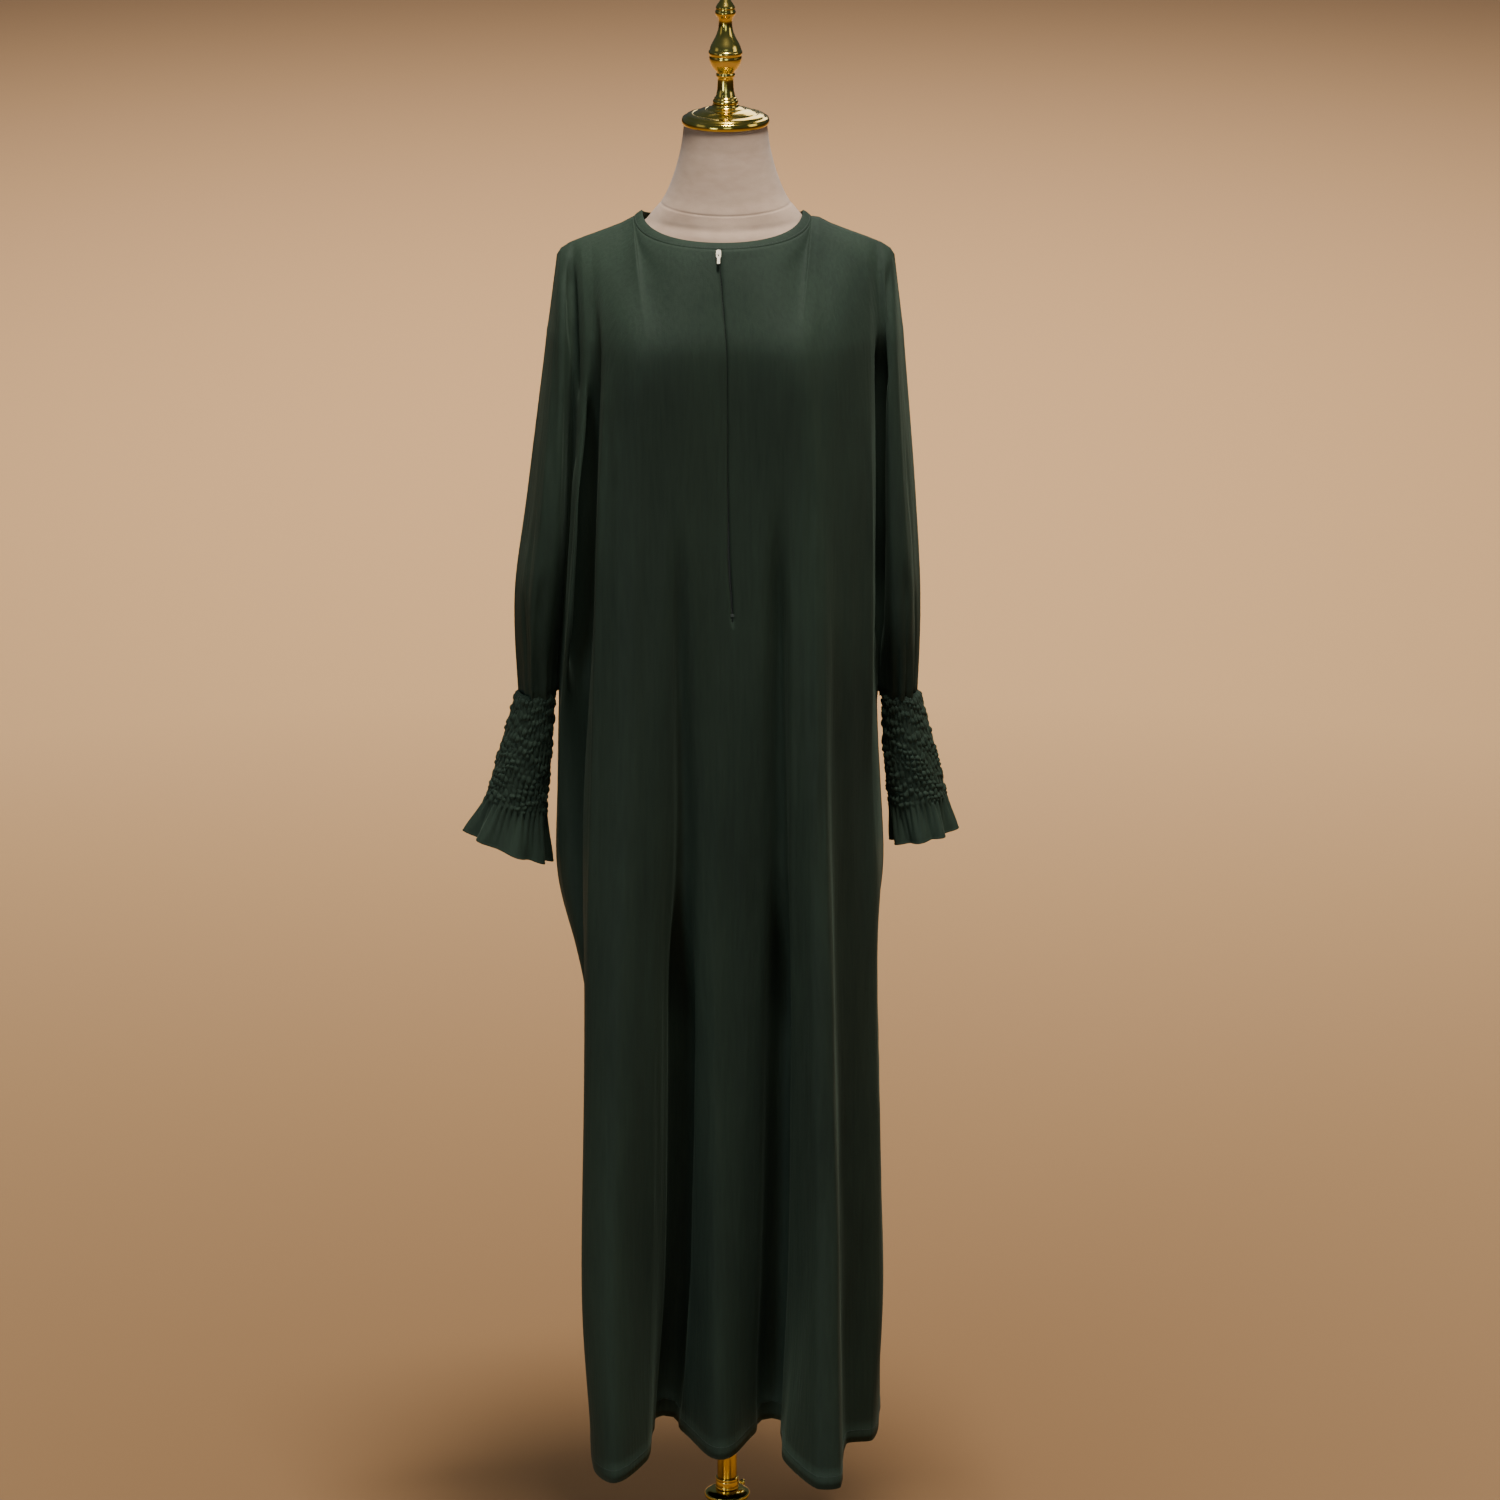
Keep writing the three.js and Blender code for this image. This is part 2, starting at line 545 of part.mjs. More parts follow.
function cuffGrid(side) {
  const corners = [...Array(CUFF.segments).keys()];
  const grid = [];
  for (let row = 0; row <= SHIRR_STEPS; row += 1) {
    const isThread = row % 2 === 0;
    const shift = (row - 1) / 2;
    const puff = (k) => ((k + shift) % 2 === 0 ? CUFF.puff : CUFF.smallPuff);
    const raise = (k) => (isThread ? 0 : puff(k));
    grid.push(corners.map((k) => cuffPoint(side, (2 * row) / SHIRR_STEPS, cuffTurn(k), raise(k))));
  }
  for (let row = 1; row <= RUFFLE.rows; row += 1) {
    const t = row / RUFFLE.rows;
    const swell = RUFFLE.wave * Math.sin((t * Math.PI) / 2);
    grid.push(corners.map((k) => {
      const turn = cuffTurn(k);
      const uneven = 1 + UNEVEN.share * Math.sin(UNEVEN.turns * turn + UNEVEN.start);
      const wave = swell * uneven * Math.sin(RUFFLE.waves * turn + (k % 2) * UNEVEN.shift);
      return cuffPoint(side, 2 + t, turn, wave);
    }));
  }
  return grid;
}

// The inside of the shirring is plain, so it has few rows, and the ruffle is a wall of even thickness.
function cuffInside(side, grid, row, k) {
  if (row <= SHIRR_STEPS) return cuffPoint(side, (2 * row) / SHIRR_STEPS, cuffTurn(k), -CUFF.wall);
  const line = grid[row];
  const around = line[(k + 1) % line.length].clone().sub(line[(k + line.length - 1) % line.length]);
  const down = grid[Math.min(row + 1, grid.length - 1)][k].clone().sub(grid[row - 1][k]);
  const outwards = side === 'left' ? down.cross(around) : around.cross(down);
  return line[k].clone().addScaledVector(outwards.normalize(), -CLOTH);
}

function cuffGeometry(side) {
  const grid = cuffGrid(side);
  const plainRows = [0, SHIRR_STEPS / 2];
  for (let row = SHIRR_STEPS; row < grid.length; row += 1) plainRows.push(row);
  const positions = [];
  const index = (point) => positions.push(point) - 1;
  const outside = grid.map((line) => line.map(index));
  const inside = plainRows.map((row) => grid[row].map((_, k) => index(cuffInside(side, grid, row, k))));

  const triangles = [];
  const band = (lines, isTurned) => {
    for (let row = 0; row < lines.length - 1; row += 1) {
      for (let k = 0; k < CUFF.segments; k += 1) {
        const n = (k + 1) % CUFF.segments;
        const [a, b, c, d] = [lines[row][k], lines[row + 1][k], lines[row + 1][n], lines[row][n]];
        if (isTurned) triangles.push([a, c, b], [a, d, c]);
        else triangles.push([a, b, c], [a, c, d]);
      }
    }
  };
  const isMirrored = side === 'right';
  band(outside, isMirrored);
  band(inside, !isMirrored);
  band([inside[0], outside[0]], isMirrored);
  band([outside.at(-1), inside.at(-1)], isMirrored);
  return meshFrom(positions, triangles);
}

// ---------------------------------------------------------------- neck binding
// Its corners stand at the same turns as the columns of the two panels that it holds.
function neckTurns(folds, steps) {
  const turns = acrossPanel(folds, steps, (fold, t) => {
    const [a, b] = [folds[fold].start.turn, folds[fold + 1]?.start.turn];
    if (t === 0) return a ?? null;
    return a === undefined || b === undefined ? null : mix(a, b, t);
  });
  return turns.filter((turn) => turn !== null);
}

function neckBinding() {
  const fore = neckTurns(frontFolds(), FRONT_STEPS);
  const aft = neckTurns(backFolds(), BACK_STEPS);
  const turns = [...fore, ...aft.slice(1, -1).reverse()];
  const rows = 3;
  const grid = [...Array(rows + 1).keys()].map((row) =>
    turns.map((turn) => {
      const point = neckEdge(turn, (BINDING.width * row) / rows);
      point.z += BINDING.bulge * Math.sin((Math.PI * row) / rows);
      return point;
    }),
  );
  const fixNormal = (normal, row) => {
    if (row === rows) normal.set(0, 0, 1);
  };
  return wallGeometry({ grid, cells: () => true, thickness: BINDING.wall, wrap: true, fixNormal });
}

// ---------------------------------------------------------------- zip
// The tape lies behind the slit: the points of the front on both sides of it, moved in.
function zipTape(front) {
  const rows = front.grid.findIndex((line) => line[Math.floor(line.length / 2)].z <= ZIP.foot);
  const middle = front.slit;
  const grid = front.grid.slice(0, rows + 1).map((line) => {
    const [a, b] = [line[middle], line[middle + 1]];
    const centre = a.clone().add(b).multiplyScalar(0.5);
    return [-1, 0, 1].map((side) => {
      const beside = side < 0 ? line[middle - 1] : line[middle + 2];
      const way = side === 0 ? new THREE.Vector3() : beside.clone().sub(centre).setLength(ZIP.tapeHalf);
      return centre.clone().add(way);
    });
  });
  grid[0].forEach((point, k) => point.lerp(grid[1][k], ZIP.tapeStart));
  const gap = CLOTH + SEAM_GAP;
  grid.forEach((line, row) => {
    const down = grid[Math.min(row + 1, rows)][1].clone().sub(grid[Math.max(row - 1, 0)][1]);
    const inwards = down.cross(new THREE.Vector3(1, 0, 0)).setLength(gap);
    if (inwards.y < 0) inwards.negate();
    line.forEach((point) => point.add(inwards));
  });
  return wallGeometry({ grid, cells: () => true, thickness: ZIP.tape });
}

// Slider and pull are made lying flat: x across, y up along the zip, z out from the cloth.
const wasm = await Module();
wasm.setup();

function solidOf(geometry) {
  const merged = mergeVertices(stripped(geometry), MERGE);
  const mesh = new wasm.Mesh({
    numProp: 3,
    vertProperties: new Float32Array(merged.attributes.position.array),
    triVerts: new Uint32Array(merged.index.array),
  });
  return new wasm.Manifold(mesh);
}

function geometryOf(solid) {
  const { vertProperties, triVerts } = solid.getMesh();
  const geometry = new THREE.BufferGeometry();
  geometry.setAttribute('position', new THREE.Float32BufferAttribute(vertProperties, 3));
  geometry.setIndex([...triVerts]);
  geometry.computeVertexNormals();
  return geometry;
}

function plate(width, length, thick, corner, eye = null) {
  const [w, h] = [width / 2, length / 2];
  const shape = new THREE.Shape();
  shape.moveTo(-w + corner, -h);
  shape.lineTo(w - corner, -h);
  shape.absarc(w - corner, -h + corner, corner, -Math.PI / 2, 0);
  shape.absarc(w - corner, h - corner, corner, 0, Math.PI / 2);
  shape.absarc(-w + corner, h - corner, corner, Math.PI / 2, Math.PI);
  shape.absarc(-w + corner, -h + corner, corner, Math.PI, 1.5 * Math.PI);
  if (eye) shape.holes.push(eye);
  return new THREE.ExtrudeGeometry(shape, { depth: thick, bevelEnabled: false, curveSegments: 3 });
}

function sliderGeometry() {
  const body = plate(SLIDER.width, SLIDER.length, SLIDER.thick, SLIDER.corner);
  const outer = new THREE.BoxGeometry(BAIL.width, BAIL.length, BAIL.height + BAIL.sunk);
  outer.translate(0, 0, SLIDER.thick + (BAIL.height - BAIL.sunk) / 2);
  const window = new THREE.BoxGeometry(BAIL.width * 3, BAIL.length - 2 * BAIL.wire, BAIL.height - BAIL.wire);
  window.translate(0, 0, SLIDER.thick + (BAIL.height - BAIL.wire) / 2);
  const bail = solidOf(outer).subtract(solidOf(window));
  return geometryOf(solidOf(body).add(bail));
}

// The pull's strip lies under the bail; its origin is the hinge axis, and it hangs towards -y.
function pullGeometry() {
  const half = PULL.eyeWidth / 2;
  const middle = PULL.strip - PULL.length / 2;
  const eye = new THREE.Path();
  const [top, foot] = [-PULL.strip - middle, -PULL.eye - middle];
  eye.moveTo(-half, top);
  eye.lineTo(half, top);
  eye.lineTo(half, foot);
  eye.lineTo(-half, foot);
  eye.closePath();
  const geometry = plate(PULL.width, PULL.length, PULL.thick, PULL.corner, eye);
  geometry.translate(0, middle, -PULL.thick / 2);
  return mergeVertices(stripped(geometry), MERGE);
}

// Both sit on the front at the neck end of the slit, in a group that leans with the chest.
function zipHead(front) {
  const [a, b] = [front.grid[0][front.slit], front.grid[1][front.slit]];
  const down = new THREE.Vector3(0, b.y - a.y, b.z - a.z).normalize();
  const out = new THREE.Vector3(0, down.z, -down.y);
  const centre = a.clone().addScaledVector(down, SLIDER.fromBinding + SLIDER.length / 2);
  centre.addScaledVector(out, SLIDER.lift);
  const head = new THREE.Group();
  head.position.set(a.x + ZIP.slit / 2, centre.y, centre.z);
  head.rotation.x = Math.atan2(-down.z, -down.y);
  head.add(named('zip_slider', sliderGeometry(), zipMetal));
  const hinge = SLIDER.thick + (BAIL.height - BAIL.wire) / 2;
  head.add(named('zip_pull', pullGeometry(), zipMetal, 0, 0, hinge));
  return head;
}

// ---------------------------------------------------------------- dress form
// Rings of the trunk from the foot up: half width, reach to the front and to the back.
const FORM_RINGS = table(
  'z     wide fore  aft  round',
  [ 870,  140,  94,  86,  2.2],
  [ 960,  148,  98,  92,  2.2],
  [1040,  146,  98,  95,  2.2],
  [1140,  130,  90,  86,  2.2],
  [1230,  116,  82,  70,  2.2],
  [1330,  128,  98,  78,  2.2],
  [1420,  140, 116,  88,  2.2],
  [1470,  148, 120,  92,  2.1],
  [1530,  162, 108,  88,  1.9],
  [1565,  172,  94,  80,  1.7],
  [1580,  172,  86,  72,  1.6],
  [1588,  162,  82,  68,  1.6],
  [1598,  142,  79,  62,  1.6],
  [1608,  116,  76,  57,  1.6],
  [1618,   96,  72,  54,  1.65],
  [1625,   88,  67,  50,  1.7],
  [1631,   83,  65,  49,  1.8],
  [1637,   78,  63,  48,  1.9],
  [1644,   72,  61,  48,  2.0],
  [1654,   66,  58,  47,  2.0],
  [1668,   60,  55,  46,  2.0],
  [1690,   53,  51,  45,  2.0],
  [1708,   49,  48,  45,  2.0],
  [1731,   46,  46,  46,  2.0],
);

function formBody() {
  const positions = [];
  const rings = FORM_RINGS.map((ring) =>
    [...Array(AROUND.form).keys()].map((k) => {
      const turn = (k / AROUND.form) * 2 * Math.PI;
      const [c, s] = [Math.cos(turn), Math.sin(turn)];
      const power = 2 / ring.round;
      const reach = s < 0 ? ring.fore : ring.aft;
      const x = ring.wide * Math.sign(c) * Math.abs(c) ** power;
      const y = reach * Math.sign(s) * Math.abs(s) ** power;
      return positions.push(new THREE.Vector3(x, y, ring.z)) - 1;
    }),
  );
  const triangles = [];
  for (let row = 0; row < rings.length - 1; row += 1) {
    for (let k = 0; k < AROUND.form; k += 1) {
      const n = (k + 1) % AROUND.form;
      const [a, b, c, d] = [rings[row][k], rings[row][n], rings[row + 1][n], rings[row + 1][k]];
      triangles.push([a, b, c], [a, c, d]);
    }
  }
  const foot = positions.push(new THREE.Vector3(0, 0, FORM_RINGS[0].z)) - 1;
  const head = positions.push(new THREE.Vector3(0, 0, FORM_RINGS.at(-1).z)) - 1;
  for (let k = 0; k < AROUND.form; k += 1) {
    const n = (k + 1) % AROUND.form;
    triangles.push([foot, rings[0][n], rings[0][k]], [head, rings.at(-1)[k], rings.at(-1)[n]]);
  }
  return meshFrom(positions, triangles);
}

// A turned piece: its profile is radius and height, from the axis at the foot to the axis at the top.
function turned(profile, around) {
  const lathe = new THREE.LatheGeometry(profile.map(({ r, z }) => new THREE.Vector2(r, z)), around);
  lathe.rotateX(Math.PI / 2);
  lathe.deleteAttribute('normal');
  lathe.deleteAttribute('uv');
  const merged = mergeVertices(lathe, MERGE);
  merged.computeVertexNormals();
  return merged;
}

const CAP_PROFILE = table(
  'r      z',
  [0,    1731.4],
  [47.5, 1731.4],
  [48.5, 1735],
  [47.5, 1740],
  [42,   1743],
  [37,   1743.6],
  [28,   1747.5],
  [19,   1750],
  [15.5, 1751],
  [14.5, 1754],
  [0,    1754],
);
const FINIAL_PROFILE = table(
  'r      z',
  [0,    1754.4],
  [13.6, 1754.4],
  [14.0, 1758],
  [12.6, 1761.5],
  [10.2, 1765],
  [9.0,  1776],
  [8.8,  1783],
  [10.4, 1786.5],
  [10.2, 1789],
  [11.4, 1792],
  [16.2, 1798.5],
  [18.4, 1806],
  [18.7, 1813],
  [17.0, 1820],
  [12.5, 1826],
  [9.9,  1831],
  [7.7,  1838],
  [7.3,  1846],
  [8.7,  1851],
  [11.4, 1856.5],
  [10.8, 1862],
  [7.4,  1867],
  [5.2,  1870.5],
  [3.0,  1874],
  [0,    1875.5],
);
const COLLAR_PROFILE = table(
  'r              z',
  [0,             COLLAR.foot],
  [COLLAR.radius, COLLAR.foot],
  [COLLAR.radius, COLLAR.top],
  [0,             COLLAR.top],
);
const BASE_PROFILE = table(
  'r      z',
  [0,     0],
  [133,   0],
  [135,   3],
  [135,  11],
  [131,  15],
  [112,  18.5],
  [104,  24],
  [70,   31],
  [40,   43],
  [24,   60],
  [18,   76],
  [21,   83],
  [27,   88],
  [27,   93],
  [19,   96.6],
  [0,    96.6],
);

function collarKnob() {
  const knob = new THREE.CylinderGeometry(KNOB.radius, KNOB.radius, KNOB.length, AROUND.knob);
  knob.rotateZ(Math.PI / 2);
  return mergeVertices(stripped(knob), MERGE);
}

function stripped(geometry) {
  geometry.deleteAttribute('normal');
  geometry.deleteAttribute('uv');
  return geometry;
}

function poleGeometry() {
  const pole = new THREE.CylinderGeometry(POLE.radius, POLE.radius, POLE.top - POLE.foot, AROUND.pole);
  pole.rotateX(Math.PI / 2);
  return mergeVertices(stripped(pole), MERGE);
}

// ---------------------------------------------------------------- the object
const frontFoldLines = frontFolds();
const slitFold = frontFoldLines.findIndex((fold) => fold.name === 'slit');
const slitStep = FRONT_STEPS.slice(0, slitFold).reduce((sum, n) => sum + n, 0);
const front = panelWall(frontFoldLines, FRONT_STEPS, -1, slitStep);
const back = panelWall(backFolds(), BACK_STEPS, 1);
const slit = { grid: front.grid, slit: slitStep };

const jilbab = new THREE.Group();
jilbab.add(named('front_panel', front.geometry, crepe));
jilbab.add(named('back_panel', back.geometry, crepe));
jilbab.add(named('neck_binding', neckBinding(), binding));
jilbab.add(named('cuff_left', cuffGeometry('left'), crepe));
jilbab.add(named('cuff_right', cuffGeometry('right'), crepe));
jilbab.add(named('zip_tape', zipTape(slit), tapeCloth));
jilbab.add(zipHead(slit));
jilbab.add(named('form_body', formBody(), linen));
jilbab.add(named('neck_cap', turned(CAP_PROFILE, AROUND.cap), gold));
jilbab.add(named('finial', turned(FINIAL_PROFILE, AROUND.finial), gold));
jilbab.add(named('pole', poleGeometry(), gold, 0, 0, (POLE.foot + POLE.top) / 2));
jilbab.add(named('pole_collar', turned(COLLAR_PROFILE, AROUND.collar), gold));
jilbab.add(named('collar_knob', collarKnob(), gold, KNOB_OUT, 0, KNOB.height));
jilbab.add(named('stand_base', turned(BASE_PROFILE, AROUND.base), gold));

export default jilbab;
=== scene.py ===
"""Looks of a long batwing jilbab on a limbless dress form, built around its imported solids.

The tables are in millimetres in the object's frame: +Z up, the front faces -Y, left and right are the
viewer's. Meshes are written in metres.
"""

import logging
import math
import random
from collections.abc import Callable, Sequence
from dataclasses import dataclass, field
from enum import Enum

import bpy
import numpy as np
from mathutils import Euler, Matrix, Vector


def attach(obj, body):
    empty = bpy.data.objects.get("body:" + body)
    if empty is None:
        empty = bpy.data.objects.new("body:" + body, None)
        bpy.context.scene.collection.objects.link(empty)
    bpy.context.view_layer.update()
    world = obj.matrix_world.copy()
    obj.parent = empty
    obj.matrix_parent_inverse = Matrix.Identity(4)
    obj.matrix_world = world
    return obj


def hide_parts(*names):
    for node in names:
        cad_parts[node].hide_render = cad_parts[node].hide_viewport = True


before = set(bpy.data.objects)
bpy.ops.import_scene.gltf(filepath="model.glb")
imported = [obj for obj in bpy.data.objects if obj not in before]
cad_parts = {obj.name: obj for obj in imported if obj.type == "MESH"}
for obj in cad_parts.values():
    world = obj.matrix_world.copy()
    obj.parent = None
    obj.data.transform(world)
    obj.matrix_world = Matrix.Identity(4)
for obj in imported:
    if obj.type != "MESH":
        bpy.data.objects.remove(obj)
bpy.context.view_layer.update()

LOG = logging.getLogger("jilbab")
METRE = 0.001
TINY = 1e-9
STEEP = 0.9
DRESS_BODY = "dress_on_form"

Triple = tuple[float, float, float]
Material = bpy.types.Material
Piece = bpy.types.Object
Socket = bpy.types.NodeSocket

# Thickness of the cloth, the gap in a seam, and the heights of the hem, the sleeve ends and the bust.
CLOTH = 0.8
SEAM_GAP = 0.16
HEM = 190.0
CUFF_TOP = 1080.0
BUST = 1500.0
HEM_ROWS = 3
# Angle in degrees at which the chest leaves the top edge, and how straight it then falls.
CHEST_START = {"middle": 32.0, "neck": 18.0, "tip": 6.0}
CHEST_STRAIGHT = 0.4
FOLD_LEAN = 0.75
SLEEVE_FOLDS = ("arm", "sleeve", "inner")
NECK_FOLDS = ("neck", "dip", "slit", "fold", "middle")
# Where the folds start on the top edge: across in millimetres, or as a turn round the neck in degrees.
FRONT_LEFT_STARTS = {
    "arm": -187.5, "sleeve": -184, "inner": -177, "seam": -169, "wing": -160, "tuck": -149,
    "edge": -136, "ridge": -119, "neck": 180, "dip": 237,
}
FRONT_RIGHT_STARTS = {
    "dip": 309, "neck": 360, "ridge": 107, "edge": 120, "tuck": 132, "side": 156, "seam": 168,
    "inner": 177, "sleeve": 184, "arm": 187.5,
}
SLIT_STARTS = {-1: 267.5, 1: 268.0}
# The back's starts are out from its middle, the same on both sides.
BACK_SLEEVE_STARTS = {"arm": 187.5, "sleeve": 184, "inner": 177, "seam": 169}
BACK_STARTS = {"tuck": 146, "ridge": 122}
BACK_NECK_STARTS = {"neck": 90, "fold": 34}
BACK_MIDDLE = 90


# ---------------------------------------------------------------- tables and curves
def mix(start: np.ndarray, end: np.ndarray, share: np.ndarray) -> np.ndarray:
    """Value that lies that share of the way from start to end."""
    return start + (end - start) * share


def eased(share: np.ndarray) -> np.ndarray:
    """Share from 0 to 1 with a soft start and end."""
    held = np.clip(share, 0.0, 1.0)
    return held * held * (3.0 - 2.0 * held)


def bell(off: np.ndarray) -> np.ndarray:
    """A soft hump: 1 at the middle and next to nothing at twice the unit."""
    return np.exp(-off * off)


def unit(vectors: np.ndarray) -> np.ndarray:
    """The same directions at length 1; one of no length stays nothing."""
    return vectors / np.maximum(np.linalg.norm(vectors, axis=-1, keepdims=True), TINY)


def round_angles(count: int) -> np.ndarray:
    """Angles in radians of points spaced evenly round a circle."""
    return np.arange(count) / count * 2 * math.pi


def steps_from_ends(count: int) -> np.ndarray:
    """How many steps each point of a row lies from its nearer end."""
    return np.minimum(np.arange(count), np.arange(count)[::-1])


def limited_cubic(levels: np.ndarray, values: np.ndarray, at: np.ndarray) -> np.ndarray:
    """Cubic through the values whose slopes are limited, so that it can't swing.

    Args:
        levels: Rising places of the values.
        values: One value for each level.
        at: Places to read.

    Returns:
        One value for each place in at, held at the ends.
    """
    span = np.diff(levels)
    slope = np.diff(values) / span
    tangent = np.empty(len(levels))
    tangent[0], tangent[-1] = slope[0], slope[-1]
    before, after = slope[:-1], slope[1:]
    total = np.where(before * after > 0, before + after, 1.0)
    tangent[1:-1] = np.where(before * after > 0, 2 * before * after / total, 0.0)
    place = np.clip(at, levels[0], levels[-1])
    k = np.clip(np.searchsorted(levels, place, "right") - 1, 0, len(levels) - 2)
    t = (place - levels[k]) / span[k]
    return (
        values[k] * (2 * t**3 - 3 * t**2 + 1)
        + span[k] * tangent[k] * (t**3 - 2 * t**2 + t)
        + values[k + 1] * (-2 * t**3 + 3 * t**2)
        + span[k] * tangent[k + 1] * (t**3 - t**2)
    )


class Table:
    """Named columns with one row for each level; the first column is the level."""

    def __init__(self, columns: str, *rows: tuple[float, ...]) -> None:
        """Sorts the rows so that their levels rise.

        Args:
            columns: Names of the columns, parted by spaces.
            rows: One tuple for each level.
        """
        self.names = columns.split()
        self.rows = np.array(sorted(rows), float)

    def column(self, name: str) -> np.ndarray:
        """All values of one column, with rising levels."""
        return self.rows[:, self.names.index(name)]

    def at(self, name: str, level: np.ndarray) -> np.ndarray:
        """Smooth value of one column at each level."""
        return limited_cubic(self.rows[:, 0], self.column(name), np.asarray(level, float))


FRONT_LEFT_X = Table(
    "z     arm  sleeve inner  seam  wing  tuck  edge  ridge  neck   dip  slit",
    (1500, -199, -190, -177, -168, -155, -144, -132, -106, -84, -50, 2),
    (1300, -225, -206, -186, -175, -166, -150, -139, -109, -84, -50, 3),
    (1180, -240, -221, -197, -183, -175, -156, -143, -111, -84, -49, 8),
    (1080, -236, -221, -203, -190, -183, -162, -146, -113, -82, -47, 0),
    (950, 0, 0, 0, -193, -188, -168, -150, -115, -80, -46, -9),
    (870, 0, 0, 0, -196, -189, -168, -153, -117, -81, -48, -11),
    (790, 0, 0, 0, -178, -174, -164, -156, -120, -82, -51, -12),
    (700, 0, 0, 0, -158, -158, -158, -159, -122, -83, -53, -12),
    (400, 0, 0, 0, -159, -160, -161, -165, -128, -87, -58, -11),
    (190, 0, 0, 0, -158, -158, -157, -153, -127, -94, -72, -7),
)
FRONT_LEFT_Y = Table(
    "z     arm  sleeve inner  seam  wing  tuck  edge  ridge  neck   dip  slit",
    (1500, 0, -38, -50, -44, -70, -84, -110, -132, -136, -136, -129),
    (1300, 0, -56, -62, -34, -92, -80, -124, -140, -138, -136, -130),
    (1180, 0, -52, -52, -20, -88, -70, -126, -145, -138, -132, -128),
    (1080, 0, -32, -24, -2, -52, -62, -128, -149, -138, -126, -126),
    (950, 0, 0, 0, 0, -30, -56, -130, -153, -136, -116, -122),
    (870, 0, 0, 0, 0, -26, -58, -131, -156, -134, -108, -120),
    (790, 0, 0, 0, 0, -28, -64, -132, -159, -132, -100, -119),
    (700, 0, 0, 0, 0, -30, -66, -134, -162, -130, -92, -118),
    (400, 0, 0, 0, 0, -32, -72, -138, -172, -120, -68, -120),
    (190, 0, 0, 0, 0, -34, -74, -146, -178, -138, -48, -122),
)
FRONT_RIGHT_X = Table(
    "z     arm  sleeve inner  seam  side  tuck  edge  ridge  neck  dip",
    (1500, 198, 190, 179, 171, 159, 124, 112, 96, 80, 55),
    (1300, 214, 200, 184, 172, 162, 121, 110, 97, 80, 55),
    (1180, 220, 206, 186, 172, 163, 120, 110, 97, 81, 56),
    (1080, 217, 204, 187, 171, 163, 120, 111, 97, 82, 56),
    (950, 0, 0, 0, 177, 166, 121, 114, 98, 82, 57),
    (870, 0, 0, 0, 181, 170, 123, 116, 98, 82, 58),
    (790, 0, 0, 0, 170, 170, 125, 119, 98, 82, 60),
    (700, 0, 0, 0, 170, 171, 127, 121, 99, 82, 59),
    (400, 0, 0, 0, 178, 178, 134, 128, 103, 82, 56),
    (190, 0, 0, 0, 180, 169, 138, 131, 103, 67, 50),
)
FRONT_RIGHT_Y = Table(
    "z     arm  sleeve inner  seam  side  tuck  edge  ridge  neck  dip",
    (1500, 0, -38, -50, -44, -71, -113, -123, -132, -136, -136),
    (1300, 0, -52, -58, -34, -84, -122, -134, -140, -138, -136),
    (1180, 0, -50, -50, -20, -84, -124, -140, -145, -139, -133),
    (1080, 0, -32, -24, -2, -78, -122, -144, -149, -139, -128),
    (950, 0, 0, 0, 0, -70, -118, -150, -154, -139, -120),
    (870, 0, 0, 0, 0, -70, -115, -154, -157, -138, -113),
    (790, 0, 0, 0, 0, -70, -112, -158, -161, -136, -106),
    (700, 0, 0, 0, 0, -71, -109, -162, -165, -134, -100),
    (400, 0, 0, 0, 0, -77, -101, -175, -178, -128, -78),
    (190, 0, 0, 0, 0, -84, -96, -189, -193, -134, -56),
)
BACK_X = Table(
    "z    tuck  ridge  neck  fold",
    (1500, 146, 112, 84, 46),
    (1080, 154, 116, 84, 44),
    (700, 152, 122, 86, 44),
    (190, 152, 124, 92, 46),
)
BACK_Y = Table(
    "z    arm sleeve inner seam tuck  ridge  neck  fold  middle",
    (1500, 0, 38, 49, 46, 82, 103, 107, 110, 107),
    (1300, 0, 56, 62, 36, 84, 112, 112, 114, 106),
    (1180, 0, 52, 52, 20, 84, 118, 114, 114, 108),
    (1080, 0, 32, 24, 2, 82, 124, 114, 112, 110),
    (790, 0, 0, 0, 0, 80, 136, 112, 102, 112),
    (520, 0, 0, 0, 0, 82, 146, 106, 90, 118),
    (190, 0, 0, 0, 0, 86, 160, 104, 84, 128),
)
HEM_RISE = {
    "seam": 8, "wing": 6, "side": 4, "tuck": 4, "edge": -9, "ridge": -9, "neck": 0,
    "dip": 8, "slit": -4, "fold": 4, "middle": -2,
}
SHOULDER = Table(
    "out  z",
    (94, 1628.5),
    (104, 1627),
    (116, 1620.5),
    (138, 1612),
    (157, 1605),
    (173, 1598.5),
    (183, 1592),
    (187.5, 1585),
)


def shoulder_height(x: np.ndarray) -> np.ndarray:
    """Height of the shoulder seam at a distance from the middle."""
    return np.interp(np.abs(x), SHOULDER.column("out"), SHOULDER.column("z"))


